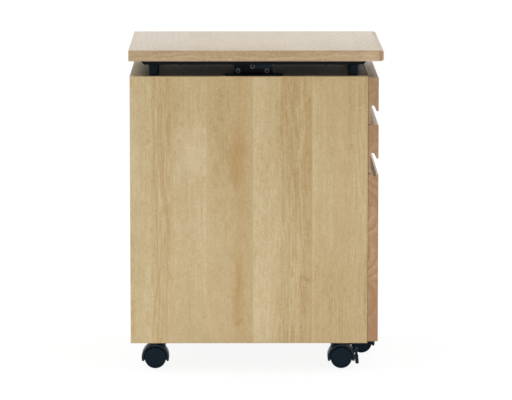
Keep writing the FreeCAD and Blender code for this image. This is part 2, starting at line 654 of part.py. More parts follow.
def make_top_frame():
    """Channel that the upper arm ends run in, two cross bars, and feet that rest on the cabinet."""
    plate_z = board_z - CHANNEL_SHEET
    plate = block((LIFT_OFFSET - channel_half, LIFT_OFFSET + channel_half), (-bar_inner_y, bar_inner_y),
                  (plate_z, board_z))
    wall_end = arm_end_y + CHANNEL_END_OVER_ARM
    walls = [block(about_lift(side, channel_half - CHANNEL_SHEET, channel_half), (-wall_end, wall_end),
                   (pivot_top_z - CHANNEL_WALL_UNDER_PIVOT, plate_z)) for side in (-1, 1)]
    channel = fused(plate, *walls)
    across = (LIFT_OFFSET - channel_half - OVERRUN, LIFT_OFFSET + channel_half + OVERRUN)
    channel = channel.cut(rod_slot(across, pivot_top_z, UPPER_ROD_DIAMETER))
    channel = channel.cut(rod_x(across, pivot_y, pivot_top_z, PIVOT_DIAMETER / 2 + SEAT_FIT))
    save("top_channel", channel)

    low_z = board_z - BAR_DEPTH
    half = BAR_LENGTH / 2
    rear_x, front_x = LIFT_OFFSET - half, LIFT_OFFSET + half
    shoulder_z = board_z - BAR_END_FACE
    outline = ((rear_x, board_z), (front_x, board_z), (front_x, shoulder_z), (front_x - BAR_CHAMFER, low_z),
               (rear_x + BAR_CHAMFER, low_z), (rear_x, shoulder_z))
    bar = prism_y(outline, (bar_inner_y, bar_inner_y + BAR_WIDTH))
    hollow = block((rear_x + BAR_CHAMFER, front_x - BAR_CHAMFER),
                   (bar_inner_y + BAR_SHEET, bar_inner_y + BAR_WIDTH - BAR_SHEET),
                   (low_z + BAR_SHEET, board_z + OVERRUN))
    right, left = both_sides(bar.cut(hollow))
    save("right_frame_bar", right)
    save("left_frame_bar", left)

    feet = []
    for along in (-1, 1):
        for across in (-1, 1):
            place = Vector(LIFT_OFFSET + along * FOOT_SPACING / 2, across * bar_y, cabinet_top_z)
            cone = Part.makeCone(FOOT_BOTTOM_DIAMETER / 2, FOOT_TOP_DIAMETER / 2, low_z - cabinet_top_z, place)
            feet.append(rounded(cone, FOOT_ROUND, lambda edge: lies(edge, z=cabinet_top_z)))
    save("rest_feet", *feet)


def wheel(axle_x, axle_y, axle_z, side):
    """Moulded wheel with a dished outer face, a ring step and a rounded tread edge."""
    inner = HOOD_WEB / 2 + WHEEL_SIDE_GAP
    outer = inner + WHEEL_WIDTH
    ring = wheel_radius * WHEEL_DISH_SHARE

    def at(radius, depth):
        return Vector(axle_x, axle_y + side * depth, axle_z + radius)

    rim = wheel_radius - WHEEL_RIM_ROUND
    slope = WHEEL_RIM_ROUND * math.sqrt(2) / 2
    edges = (
        Part.makeLine(at(0, inner), at(wheel_radius, inner)),
        Part.makeLine(at(wheel_radius, inner), at(wheel_radius, outer - WHEEL_RIM_ROUND)),
        Part.Arc(at(wheel_radius, outer - WHEEL_RIM_ROUND), at(rim + slope, outer - WHEEL_RIM_ROUND + slope),
                 at(rim, outer)).toShape(),
        Part.makeLine(at(rim, outer), at(ring + WHEEL_RING, outer)),
        Part.makeLine(at(ring + WHEEL_RING, outer), at(ring, outer - WHEEL_DISH)),
        Part.makeLine(at(ring, outer - WHEEL_DISH), at(0, outer - WHEEL_DISH)),
        Part.makeLine(at(0, outer - WHEEL_DISH), at(0, inner)),
    )
    disc = Part.Face(Part.Wire(edges)).revolve(Vector(axle_x, axle_y, axle_z), Vector(0, 1, 0), 360)
    bore_y = sorted((axle_y + side * (inner - OVERRUN), axle_y + side * (outer - AXLE_COVER)))
    return disc.cut(rod_y(axle_x, bore_y, axle_z, AXLE_DIAMETER / 2 + SEAT_FIT))


def wheel_pair(axle_x, axle_y, axle_z):
    """Two wheels on the axle that joins them through the hood's web."""
    reach = HOOD_WEB / 2 + WHEEL_SIDE_GAP + WHEEL_WIDTH - AXLE_COVER - STEM_END_GAP
    axle = rod_y(axle_x, (axle_y - reach, axle_y + reach), axle_z, AXLE_DIAMETER / 2)
    return wheel(axle_x, axle_y, axle_z, -1), wheel(axle_x, axle_y, axle_z, 1), axle


def hood(stem_x, stem_y, axle_z, trail):
    """Arched cover over both wheels, with the web that holds the axle and the boss on the stem."""
    axle_x = stem_x + trail * STEM_OFFSET
    half = HOOD_WIDTH / 2
    width = (stem_y - half, stem_y + half)
    past = (stem_y - half - OVERRUN, stem_y + half + OVERRUN)
    arch = rod_y(axle_x, width, axle_z, hood_outer).cut(rod_y(axle_x, past, axle_z, hood_inner))
    skirt_z = axle_z - HOOD_SKIRT
    below = block((axle_x - hood_outer - OVERRUN, axle_x + hood_outer + OVERRUN), past,
                  (axle_z - hood_outer - OVERRUN, skirt_z))
    arch = rounded(arch.cut(below), HOOD_ROUND, lambda edge: isinstance(edge.Curve, Part.Circle)
                   and abs(edge.Curve.Radius - hood_outer) < SAME)
    web_y = (stem_y - HOOD_WEB / 2, stem_y + HOOD_WEB / 2)
    web = rod_y(axle_x, web_y, axle_z, hood_inner + HOOD_WALL / 2).cut(below)
    boss_top_z = axle_z + hood_outer + BOSS_RISE
    boss = rod_z(stem_x, stem_y, (axle_z + BOSS_FOOT_RISE, boss_top_z), BOSS_DIAMETER / 2)
    cover = fused(arch, web, boss)
    cover = cover.cut(rod_y(axle_x, past, axle_z, AXLE_DIAMETER / 2 + RUNNING_FIT))
    return cover.cut(rod_z(stem_x, stem_y, (boss_top_z - STEM_IN_HOOD - STEM_END_GAP, boss_top_z + OVERRUN),
                           STEM_DIAMETER / 2 + RUNNING_FIT))


def stem(x, y, axle_z, seat_z):
    """Steel stem with a collar that bears on the panel over it."""
    boss_top_z = axle_z + hood_outer + BOSS_RISE
    pin = rod_z(x, y, (boss_top_z - STEM_IN_HOOD, seat_z + STEM_IN_PANEL), STEM_DIAMETER / 2)
    return fused(pin, rod_z(x, y, (boss_top_z + COLLAR_GAP, seat_z), COLLAR_DIAMETER / 2))


def brake_pivot(stem_x, axle_z):
    """X and Z of a front caster's brake pivot, in front of its hood."""
    reach = hood_outer + BRAKE_PIVOT_STANDOFF
    angle = math.radians(BRAKE_ANGLE_DEGREES)
    return stem_x + STEM_OFFSET + reach * math.cos(angle), axle_z + reach * math.sin(angle)


def brake_ears(stem_x, stem_y, axle_z):
    """Two ears on the front of a hood, with the holes for the brake lever's trunnions."""
    pivot_x, pivot_z = brake_pivot(stem_x, axle_z)
    axle_x = stem_x + STEM_OFFSET
    inside = BRAKE_WIDTH / 2 + BRAKE_EAR_GAP
    radius = BRAKE_EAR_DIAMETER / 2
    root = hood_inner + HOOD_WALL / 2
    ears = []
    for side in (-1, 1):
        y = sorted((stem_y + side * inside, stem_y + side * (inside + BRAKE_EAR)))
        arm_block = block((axle_x + root, axle_x + hood_outer + BRAKE_PIVOT_STANDOFF), y,
                          (axle_z - radius, axle_z + radius))
        arm_block.rotate(Vector(axle_x, stem_y, axle_z), Vector(0, 1, 0), -BRAKE_ANGLE_DEGREES)
        ears.append(fused(arm_block, rod_y(pivot_x, y, pivot_z, radius)))
    return ears


def brake_lever(stem_x, stem_y, axle_z):
    """Pedal that hangs in front of a front caster, with moulded trunnions."""
    pivot_x, pivot_z = brake_pivot(stem_x, axle_z)
    half = BRAKE_WIDTH / 2
    y = (stem_y - half, stem_y + half)
    tip_x, tip_z = pivot_x + BRAKE_LEAN, pivot_z - BRAKE_DROP
    length = math.hypot(BRAKE_LEAN, BRAKE_DROP)
    side_x = BRAKE_DROP / length * BRAKE_STRIP / 2
    side_z = BRAKE_LEAN / length * BRAKE_STRIP / 2
    strip = prism_y(((pivot_x + side_x, pivot_z + side_z), (tip_x + side_x, tip_z + side_z),
                     (tip_x - side_x, tip_z - side_z), (pivot_x - side_x, pivot_z - side_z)), y)
    reach = half + BRAKE_EAR_GAP + BRAKE_EAR
    trunnion = rod_y(pivot_x, (stem_y - reach, stem_y + reach), pivot_z, BRAKE_PIN_DIAMETER / 2)
    return fused(strip, rod_y(tip_x, y, tip_z, BRAKE_STRIP / 2), trunnion,
                 rod_y(pivot_x, y, pivot_z, BRAKE_HUB_DIAMETER / 2))


def make_casters():
    """Four corner casters under the cabinet and one under the deep drawer's front."""
    axle_z = wheel_radius
    stems = []
    for name, x, y, trail in corner_stems():
        stems.append(stem(x, y, axle_z, base_z))
        cover = hood(x, y, axle_z, trail)
        if name.startswith("front"):
            pivot_x, pivot_z = brake_pivot(x, axle_z)
            cover = fused(cover, *brake_ears(x, y, axle_z))
            past = (y - HOOD_WIDTH, y + HOOD_WIDTH)
            cover = cover.cut(rod_y(pivot_x, past, pivot_z, BRAKE_PIN_DIAMETER / 2 + RUNNING_FIT))
            save(name + "_brake_lever", brake_lever(x, y, axle_z))
        save(name + "_caster_hood", cover)
        save(name + "_caster_wheels", *wheel_pair(x + trail * STEM_OFFSET, y, axle_z))
    save("caster_stems", *stems)

    drawer_x = front_face_x - DRAWER_STEM_SETBACK
    drawer_axle_z = axle_z + DRAWER_CASTER_LIFT
    save("drawer_caster_stem", stem(drawer_x, 0, drawer_axle_z, front_foot_z))
    save("drawer_caster_hood", hood(drawer_x, 0, drawer_axle_z, -1))
    save("drawer_caster_wheels", *wheel_pair(drawer_x - STEM_OFFSET, 0, drawer_axle_z))


os.makedirs("parts", exist_ok=True)
make_cabinet()
make_drawers()
make_top()
make_lift_base()
make_latch()
make_arms()
make_top_frame()
make_casters()
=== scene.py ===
import math
import random

import bpy
from bpy.props import FloatProperty, FloatVectorProperty, PointerProperty
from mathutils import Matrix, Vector


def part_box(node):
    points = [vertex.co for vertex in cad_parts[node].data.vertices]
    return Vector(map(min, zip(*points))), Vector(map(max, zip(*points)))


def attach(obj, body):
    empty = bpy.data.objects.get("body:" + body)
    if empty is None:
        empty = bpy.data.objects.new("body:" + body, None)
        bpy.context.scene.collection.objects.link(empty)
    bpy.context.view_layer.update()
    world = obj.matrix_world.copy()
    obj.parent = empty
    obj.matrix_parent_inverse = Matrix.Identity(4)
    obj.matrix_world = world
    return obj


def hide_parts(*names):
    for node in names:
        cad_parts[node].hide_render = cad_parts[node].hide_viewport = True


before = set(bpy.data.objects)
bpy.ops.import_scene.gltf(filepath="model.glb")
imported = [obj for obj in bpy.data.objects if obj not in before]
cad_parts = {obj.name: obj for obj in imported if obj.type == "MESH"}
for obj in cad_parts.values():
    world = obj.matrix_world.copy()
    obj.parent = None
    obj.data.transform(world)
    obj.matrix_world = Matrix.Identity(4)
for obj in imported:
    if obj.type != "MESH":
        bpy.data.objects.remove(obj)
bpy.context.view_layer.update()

bl_info = {
    "name": "Drawer Pedestal",
    "version": (1, 0, 0),
    "blender": (4, 5, 0),
    "location": "View3D > Sidebar > Pedestal",
    "description": "Dresses a mobile drawer pedestal with a lift-up top in its finishes",
    "category": "Object",
}

MM = 0.001

# Roundings of the modelled pieces, and the angles in degrees up to which their shading stays smooth
ROUND_SIDES = 64
SOCKET_SIDES = 6
EASE_STEPS, DOME_STEPS, WASHER_STEPS, GRIP_STEPS = 3, 6, 4, 8
BOARD_ANGLE, HEAD_ANGLE, GRIP_ANGLE = 35, 30, 40
CORE_EASE_SHARE, BAND_EASE_SHARE, FILM_EASE_SHARE = 0.3, 0.5, 0.2
PAN_DOME_SHARE, BUTTON_DOME_SHARE, WASHER_DOME_SHARE = 0.55, 0.6, 0.5
GRIP_ROUND_SHARE = 0.42
# Recesses as shares of the screw head's diameter, and how far the cross narrows towards its bottom
BLADE_LENGTH_SHARE, BLADE_WIDTH_SHARE, BLADE_TIP_SHARE = 0.62, 0.15, 0.45
SOCKET_RADIUS_SHARE = 0.27
SOCKET_DEPTH_SHARE = 1.2
# Screws under the frame bars, as shares of the lift's other screws and of the bar's length
BAR_SCREW_SHARE, BAR_SCREW_REACH_SHARE = 0.8, 0.32
# Turns about X, in degrees, that make an upright head look up, towards the photo's side or down
LOOKING_UP, LOOKING_OUT, LOOKING_DOWN = 0, 90, 180

# Soft boxes: name, place and side in metres, and share of the power
SOFT_BOXES = (
    ("near left", (-1.9, -2.6, 0.25), 1.1, 0.48), ("near right", (1.9, -2.6, 0.25), 1.1, 0.48),
    ("upper left", (-2.4, 0.6, 3.2), 1.8, 0.8), ("upper right", (2.4, 0.6, 3.2), 1.8, 0.8))
SOFT_BOX_AIM = Vector((0.0, 0.0, 0.3))
# Low fill strip: place, length and height in metres
STRIP_PLACE, STRIP_LENGTH, STRIP_HEIGHT = (0.0, -0.40, 0.02), 0.7, 0.03
# Camera: width of the sensor in millimetres, and how far it sees in metres
SENSOR, FARTHEST = 36.0, 100.0
# Headings between which the room's light changes: upwards, to the sides and away behind the object
UPWARD_FROM, UPWARD_FULL = 0.30, 0.75
SIDEWAYS_FROM, SIDEWAYS_FULL = 0.6, 0.95
BEHIND_FROM, BEHIND_FULL = -0.3, 0.3
# Distances from the object in metres over which the paper turns pure white, and how white it is at the object
WHITE_FROM, WHITE_FULL, WHITE_LEAST = 0.30, 0.9, 0.88
WHITE = (1.0, 1.0, 1.0, 1.0)
PAPER_GLOW = 1.03

# Staves from edge to edge: place in millimetres, tone, straight grain, warmth and the stave's own number
SIDE_STAVES = (
    (-225, 0.39, 0.02, 0.02, 0.10), (-187, 0.36, 0.08, 0.00, 0.10), (-181, 0.47, 1.00, 0.18, 0.10),
    (-156, 0.44, 1.00, 0.18, 0.10), (-143, 0.36, 0.15, 0.00, 0.10), (-87.4, 0.34, 0.12, 0.00, 0.10),
    (-87.1, 0.35, 0.12, 0.12, 0.37), (-45, 0.36, 0.12, 0.12, 0.37), (-30, 0.43, 0.25, 0.30, 0.37),
    (-12, 0.42, 0.20, 0.22, 0.37), (-5.9, 0.46, 0.20, 0.18, 0.37),
    (-5.6, 0.27, 0.04, 0.00, 0.62), (34, 0.36, 0.20, 0.00, 0.62), (44, 0.47, 0.80, 0.10, 0.62),
    (82, 0.52, 0.85, 0.13, 0.62), (98.7, 0.66, 0.70, 0.18, 0.62),
    (99.0, 0.26, 0.20, 0.05, 0.83), (106, 0.42, 0.30, 0.12, 0.83), (165, 0.46, 0.35, 0.14, 0.83),
    (172, 0.44, 0.60, 0.09, 0.83), (198, 0.44, 0.60, 0.09, 0.83))
TOP_STAVES = (
    (-226, 0.42, 0.30, 0.00, 0.21), (-123.2, 0.40, 0.25, 0.00, 0.21),
    (-122.9, 0.50, 0.20, 0.10, 0.47), (55.9, 0.46, 0.20, 0.10, 0.47),
    (56.2, 0.40, 0.25, 0.00, 0.74), (226, 0.44, 0.30, 0.05, 0.74))
# Stains of the left side: middle across and up, reach across and up in millimetres, added tone and warmth
SIDE_STAINS = (
    (-37, 384, 19, 66, 0.22, 0.36), (-32, 150, 13, 95, 0.16, 0.34), (-30, 88, 12, 9, 0.40, 0.25),
    (-60, 420, 40, 150, 0.12, 0.10), (-114, 386, 50, 74, -0.32, 0.00), (90, 166, 17, 6, 0.55, 0.12),
    (84, 120, 20, 60, 0.10, 0.05), (-150, 470, 16, 60, 0.12, 0.12))
# Spans of the plainer staves in millimetres: from, to, and width of a stave
EDGE_SPAN = (540, 585, 60)
LEVEL_SPAN = (-210, 210, 60)
BACK_SPAN = (-202, 202, 82)
BOX_SPAN = (50, 530, 120)
BOX_FLOOR_SPAN = (-200, 200, 140)
# Drawer fronts: name, seed and tone of the staves, redness of the cut ends, joints as shares of the height
DRAWER_FRONTS = (
    ("top", 21, 0.60, 0.0, ()), ("middle", 22, 0.74, 0.15, ()),
    ("bottom", 23, 0.54, 0.34, (0.117, 0.37, 0.626, 0.807)))
FRONT_STAVE = 46
FRONT_HEART_DEPTH = 14

# Plain staves: half a joint in millimetres, and how far widths, lines and warmth may stray as shares
HALF_JOINT = 0.15
WIDTH_SHARES, LINE_SHARES, HEAT_SHARES = (0.8, 1.2), (0.6, 1.4), (0.2, 1.8)
LEAST_STAVE_SHARE = 0.4
# Added to a stave's number, so that its mirrored twin has a grain of its own
TWIN_NUMBER = 0.017

# Grain in millimetres: how far each cloud bends it, and how far apart in their trunk the staves come from
WANDER_SWAY, WAVE_SWAY, RING_SWAY = 26, 5, 22
STAVE_SHIFT = (300, 100, 9000)
HEART_DEPTH_RANGE, HEART_LENGTH_RANGE, HEART_REACH_SHARE = 24, 260, 0.8
# A ring texture of scale 1 repeats at this length. A year's growth darkens by this power, to this mean
RING_PERIOD = math.pi / 10
GROWTH_POWER, GROWTH_MEAN = 2.0, 0.33
# Tone of the slow wander, and warmth of the dark lines of straight grain
WANDER_TONE, STRIPE_HEAT = 0.8, 0.55
# Pores in millimetres, the noise between which they show, and their tone
PORE_WIDTH, PORE_LENGTH = 0.7, 8
PORE_FROM, PORE_FULL, PORE_TONE = 0.60, 0.74, 0.12
# How far waves and flecks fray a stain across, in depth and along, and how much the fibres streak it. Its
# depth goes through any board
STAIN_WAVES, STAIN_FLECKS = (16, 0, 60), (6, 0, 16)
STAIN_DEPTH = 1000000
STREAK_LEAST, STREAK_MOST = 0.55, 1.45
# How squarely a face must cut the fibres to look like an end
CUT_FROM, CUT_FULL = 0.6, 0.95
# Relief: share of the fibres beside the pores, strength, depth in millimetres, and swing of the roughness
FIBRE_SHARE, FIBRE_RELIEF, FIBRE_DEPTH, LACQUER_SWING = 0.5, 0.25, 0.1, 0.08

# Coats and mouldings: usual range of a noise, size of the clouds, their lighter tone, swing of roughness
NOISE_LOW, NOISE_HIGH = 0.3, 0.7
CLOUD_SIZE = 40 * MM
CLOUD_GAIN, CLOUD_LIFT, COAT_SWING = 1.5, 0.004, 0.06


def linear(hex_colour):
    """Linear colour of an sRGB hex value, with full alpha."""
    channels = [int(hex_colour[at:at + 2], 16) / 255 for at in (0, 2, 4)]
    return [c / 12.92 if c <= 0.04045 else ((c + 0.055) / 1.055) ** 2.4 for c in channels] + [1.0]


def colour(title, hex_colour, words):
    """Colour property with its default written as sRGB hex."""
    return FloatVectorProperty(name=title, description=words, default=linear(hex_colour), size=4,
                               subtype="COLOR", min=0.0, max=1.0)


def size(title, millimetres, words):
    """Length property with its default written in millimetres."""
    return FloatProperty(name=title, description=words, default=millimetres * MM, unit="LENGTH")


def place(title, metres, words):
    """Place property with its default written in metres."""
    return FloatVectorProperty(name=title, description=words, default=metres, size=3, subtype="TRANSLATION",
                               unit="LENGTH")


class PedestalWood(bpy.types.PropertyGroup):
    side_light: colour("Side light", "cfbc93", "Palest wood of the cabinet panels")
    side_dark: colour("Side dark", "aa8d5c", "Darkest grain of the cabinet panels")
    side_warm: colour("Side warm", "b0884c", "Brown stain of the heartwood in the cabinet panels")
    top_light: colour("Top light", "c6b7a1", "Palest wood of the top board and its lipping")
    top_dark: colour("Top dark", "a59176", "Darkest grain of the top board and its lipping")
    top_warm: colour("Top warm", "b48f66", "Brown stain of the heartwood in the top board")
    band_light: colour("Band light", "c9b28f", "Palest wood of the edge bands on the top board")
    band_dark: colour("Band dark", "957a54", "Darkest grain of the edge bands on the top board")
    solid_light: colour("Solid light", "d4bd9b", "Palest wood of the solid drawer fronts")
    solid_dark: colour("Solid dark", "9c7f5c", "Darkest grain of the solid drawer fronts")
    solid_warm: colour("Solid warm", "a5744c", "Red heartwood of the solid drawer fronts and the lipping")
    board_light: colour("Board light", "e0d0b2", "Palest wood of the drawer boxes")
    board_dark: colour("Board dark", "c0a880", "Darkest grain of the drawer boxes")
    shelf_light: colour("Shelf light", "c6b698", "Palest wood of the cabinet top and bottom")
    shelf_dark: colour("Shelf dark", "a08d6e", "Darkest grain of the cabinet top and bottom")
    # The dark film under the top board is a sheet put where the gap shows only shade: it paints shade into
    # the gap
    shade_film_tint: colour("Shade film tint", "24282b", "Dark film under the top board")
    backing: size("Backing", 0.6, "Thickness of the film under the top board")
    shade_film_grain: size("Shade film grain", 0.8, "Size of the film's faint relief")
    band: size("Edge band", 0.8, "Thickness of the glued edge bands")
    front_seal: size("Front seal", 1.4, "How far the front bands of the side panels reach towards the fronts")
    ease: size("Eased edge", 0.5, "Width of the eased edges of panels")


class PedestalMetal(bpy.types.PropertyGroup):
    coat: colour("Powder coat", "0a0f13", "Black powder coat on the lift")
    zinc: colour("Zinc", "b9bcbd", "Zinc plate on slides, stems, pins and screws")
    oxide: colour("Black oxide", "1c2328", "Blackened steel of the locking lever's shaft")
    lever: colour("Lever", "1d272e", "Painted steel of the locking lever")
    screw_black: colour("Screw black", "22262a", "Black plate on the screws of the latch and the frame bars")
    washer_grey: colour("Washer grey", "6d7475", "Phosphated steel of the washers")
    plastic: colour("Plastic", "07131c", "Moulded black plastic of hoods, brake levers and feet")
    wheel: colour("Wheel", "06141d", "Moulded black nylon of the wheels")
    gleam: colour("Gleam", "d0e4f8", "Light that the moulded plastic of the casters throws back")
    coat_grain: size("Coat grain", 0.6, "Size of the powder coat's orange peel")
    steel_grain: size("Steel grain", 0.8, "Size of the faint relief on plated steel")
    screw_grain: size("Screw grain", 0.5, "Size of the faint relief on screws and washers")
    plastic_grain: size("Plastic grain", 0.5, "Size of the moulded plastic's spark texture")
    lever_hub: size("Lever hub", 9.0, "Diameter of the locking lever's hub")
    lever_height: size("Lever height", 540.5, "Height of the locking lever's pivot above the floor")
    screw_head: size("Screw head", 8.0, "Diameter of the lift's screw heads")
    screw_height: size("Screw height", 1.6, "Height of the lift's screw heads")
    screw_recess: size("Screw recess", 1.0, "Depth of the cross recess in the screw heads")
    washer: size("Washer", 0.7, "Thickness of the washers under the latch screws and on the lever's rivet")
    washer_rim: size("Washer rim", 1.1, "How far the washers stand out beyond the heads")
    grip: size("Brake grip", 0.8, "Wall of the grips moulded over the brake levers")
    grip_length: size("Grip length", 14.0, "Height of the grips moulded over the brake levers")
    grip_lean: size("Grip lean", 1.6, "How far the grips lean back over their height")
    strip: size("Lever strip", 4.8, "Thickness of the brake levers")
    strip_width: size("Lever width", 10.0, "Width of the brake levers")


class PedestalStage(bpy.types.PropertyGroup):
    eye: place("Eye", (-0.0315, -6.5242, 1.1423), "Place of the camera")
    aim: place("Aim", (-0.0004, -0.2, 0.307), "Point in the middle of the picture")
    lens: FloatProperty(name="Lens", description="Focal length on a 36 mm wide sensor, in millimetres",
                        default=253.8, min=1.0)
    sky: FloatProperty(name="Sky", description="Strength of the even light from above", default=0.84)
    dusk: FloatProperty(name="Dusk", description="Strength of the light from low down in the room",
                        default=0.12)
    wings: FloatProperty(name="Wings", default=0.7,
                         description="Strength of the light from low down at the left and right")
    boxes: FloatProperty(name="Soft boxes", description="Power of a soft box with a share of 1", default=50.0,
                         unit="POWER")
    fill: FloatProperty(name="Fill", description="Power of the strip that lights the side's lower end",
                        default=0.06, unit="POWER")
    paper: colour("Paper", "f6f6f6", "White paper of the floor")
    floor_size: FloatProperty(name="Floor size", description="Side of the floor", default=30.0, unit="LENGTH")


def settings():
    """The three groups of settings on the scene."""
    scene = bpy.context.scene
    return scene.pedestal_wood, scene.pedestal_metal, scene.pedestal_stage


def add_node(tree, kind, sockets=None, **options):
    """Add a node with its options, and fill its sockets with values or with other nodes' outputs."""
    made = tree.nodes.new(kind)
    for name, value in options.items():
        setattr(made, name, value)
    for name, value in (sockets or {}).items():
        if isinstance(value, bpy.types.NodeSocket):
            tree.links.new(value, made.inputs[name])
        else:
            made.inputs[name].default_value = value
    return made


def new_material(name):
    """Empty node material with its output and principled shader."""
    material = bpy.data.materials.new(name)
    material.use_nodes = True
    material.node_tree.nodes.clear()
    tree = material.node_tree
    shader = add_node(tree, "ShaderNodeBsdfPrincipled")
    add_node(tree, "ShaderNodeOutputMaterial", {"Surface": shader.outputs["BSDF"]})
    return material, tree, shader


def plain_staves(low, high, width, seed, tone=0.45, spread=0.15, lines=0.4, heat=0.1, joints=()):
    """Stops of staves of about one width, or with joints at shares of the whole, each with its own tone."""
    dice = random.Random(seed)
    stops = []
    at = low
    ends = [low + share * (high - low) for share in joints] + [high]
    while at < high:
        if joints:
            end = ends.pop(0)
        else:
            end = min(high, at + width * dice.uniform(*WIDTH_SHARES))
            if high - end < LEAST_STAVE_SHARE * width:
                end = high
        look = (tone + dice.uniform(-spread, spread), lines * dice.uniform(*LINE_SHARES),
                heat * dice.uniform(*HEAT_SHARES), dice.random())
        stops += [(at + HALF_JOINT,) + look, (end - HALF_JOINT,) + look]
        at = end
    return stops


def mirrored(stops):
    """The same staves in the opposite order."""
    ends = stops[0][0] + stops[-1][0]
    return [(ends - stop[0],) + stop[1:4] + (stop[4] + TWIN_NUMBER,) for stop in reversed(stops)]


def stave_middles(stops, apart):
    """Grey for each stop that tells where its stave's middle lies, or the whole's if they aren't apart."""
    first, last = stops[0][0], stops[-1][0]
    places = {}
    for stop in stops:
        places.setdefault(stop[4] if apart else 0.0, []).append(stop[0])
    greys = []
    for stop in stops:
        own = places[stop[4] if apart else 0.0]
        middle = (min(own) + max(own)) / 2
        greys.append([(middle - first) / (last - first)] * 3 + [1.0])
    return greys


def timber(name, finish, along, across, staves, stains=(), heart=0.0, lean=2.0, rings=0.2, ring=5.0,
           contrast=1.0, roughness=0.42, shine=0.5, end=(0.45, 0.25), spread=0.0, flush=0.0):
    """Wood glued up from staves, with the rings of the trunk cut by each face.

    finish is the light, dark and warm colour. along is the axis of the grain and across the axis over which
    the staves lie side by side. Each stave stop is a place across in millimetres, the tone there, the
    strength of its straight grain lines, its warmth and its stave's own number. Each stain is a spot: its
    middle across and along, its reach across and along, and the tone and warmth it adds. heart is where the
    trunk's middle lies on the third axis, in millimetres, and lean how many degrees it leans along the
    grain. rings is how strongly the year rings show, and ring their width in millimetres. end is the tone
    and warmth that cut ends add. With a spread, each stave comes from a trunk of its own, whose middle lies
    up to that many millimetres aside of the stave's. flush is the warmth that the late wood of the rings
    adds.
    """
    light, dark, warm = finish
    material, tree, shader = new_material(name)
    spot = add_node(tree, "ShaderNodeTexCoord").outputs["Object"]
    axes = add_node(tree, "ShaderNodeSeparateXYZ", {0: spot}).outputs
    depth = next(axis for axis in "XYZ" if axis not in (along, across))
    trunk = add_node(tree, "ShaderNodeCombineXYZ",
                     {0: axes[across], 1: axes[depth], 2: axes[along]}).outputs[0]
    trunk = add_node(tree, "ShaderNodeVectorMath", {0: trunk, "Scale": 1 / MM}, operation="SCALE").outputs[0]

    # Staves side by side: one ramp holds the look of each, the other the place of its middle
    first, last = staves[0][0], staves[-1][0]
    share = add_node(tree, "ShaderNodeMapRange", {
        "Value": axes[across], "From Min": first * MM, "From Max": last * MM}).outputs[0]
    ramps = []
    for tints in ([stop[1:5] for stop in staves], stave_middles(staves, spread)):
        ramp = add_node(tree, "ShaderNodeValToRGB", {"Fac": share})
        keys = ramp.color_ramp.elements
        while len(keys) < len(staves):
            keys.new(0.5)
        for key, stop, tint in zip(keys, staves, tints):
            key.position = (stop[0] - first) / (last - first)
            key.color = tint
        ramps.append(ramp.outputs)
    looks, middles = ramps
    parts = add_node(tree, "ShaderNodeSeparateColor", {0: looks["Color"]}).outputs
    shade, straight, heat = parts[0], parts[1], parts[2]
    loose = add_node(tree, "ShaderNodeMath", {0: 1.0, 1: straight}, operation="SUBTRACT").outputs[0]
    chance = add_node(tree, "ShaderNodeTexWhiteNoise", {"W": looks["Alpha"]},
                      noise_dimensions="1D").outputs["Color"]
    own = add_node(tree, "ShaderNodeVectorMath", {0: chance, 1: STAVE_SHIFT, 2: trunk},
                   operation="MULTIPLY_ADD").outputs[0]

    # Slow wander of the grain and the smaller waves on it: cell across, cell along, detail and sway
    clouds = {}
    bent = own
    for word, cell, length, detail, sway in (("wander", 70, 210, 2.0, WANDER_SWAY),
                                             ("wave", 16, 55, 2.0, WAVE_SWAY)):
        grid = add_node(tree, "ShaderNodeMapping",
                        {"Vector": own, "Scale": (1 / cell, 1 / cell, 1 / length)}).outputs[0]
        clouds[word] = add_node(tree, "ShaderNodeTexNoise",
                                {"Vector": grid, "Scale": 1.0, "Detail": detail}).outputs
        bent = add_node(tree, "ShaderNodeVectorMath", {0: clouds[word]["Color"], 1: (sway, sway, 0), 2: bent},
                        operation="MULTIPLY_ADD").outputs[0]

    # Year rings about a heart that lies off the face and leans along the stave
    reach = 2 * spread or HEART_REACH_SHARE * (last - first)
    middle = add_node(tree, "ShaderNodeSeparateColor", {0: middles["Color"]}).outputs[0]
    middle = add_node(tree, "ShaderNodeMapRange",
                      {"Value": middle, "To Min": -first, "To Max": -last}).outputs[0]
    middle = add_node(tree, "ShaderNodeCombineXYZ", {0: middle}).outputs[0]
    ringed = add_node(tree, "ShaderNodeVectorMath",
                      {0: clouds["wander"]["Color"], 1: (RING_SWAY, RING_SWAY, 0), 2: trunk},
                      operation="MULTIPLY_ADD").outputs[0]
    aside = add_node(tree, "ShaderNodeVectorMath", {
        0: chance, 1: (reach, HEART_DEPTH_RANGE, HEART_LENGTH_RANGE),
        2: (-(reach + RING_SWAY) / 2, -heart - (HEART_DEPTH_RANGE + RING_SWAY) / 2, -HEART_LENGTH_RANGE / 2)},
        operation="MULTIPLY_ADD").outputs[0]
    aside = add_node(tree, "ShaderNodeVectorMath", {0: aside, 1: middle}, operation="ADD").outputs[0]
    ringed = add_node(tree, "ShaderNodeVectorMath", {0: ringed, 1: aside}, operation="ADD").outputs[0]
    ringed = add_node(tree, "ShaderNodeMapping",
                      {"Vector": ringed, "Rotation": (math.radians(lean), 0, 0)}).outputs[0]
    growth = add_node(tree, "ShaderNodeTexWave", {
        "Vector": ringed, "Scale": RING_PERIOD / ring, "Distortion": 2.2, "Detail": 2.0, "Detail Scale": 0.5},
        wave_type="RINGS", rings_direction="Z", wave_profile="SAW").outputs[1]
    growth = add_node(tree, "ShaderNodeMath", {0: growth, 1: GROWTH_POWER}, operation="POWER").outputs[0]
    heat = add_node(tree, "ShaderNodeMath", {0: growth, 1: flush, 2: heat},
                    operation="MULTIPLY_ADD").outputs[0]

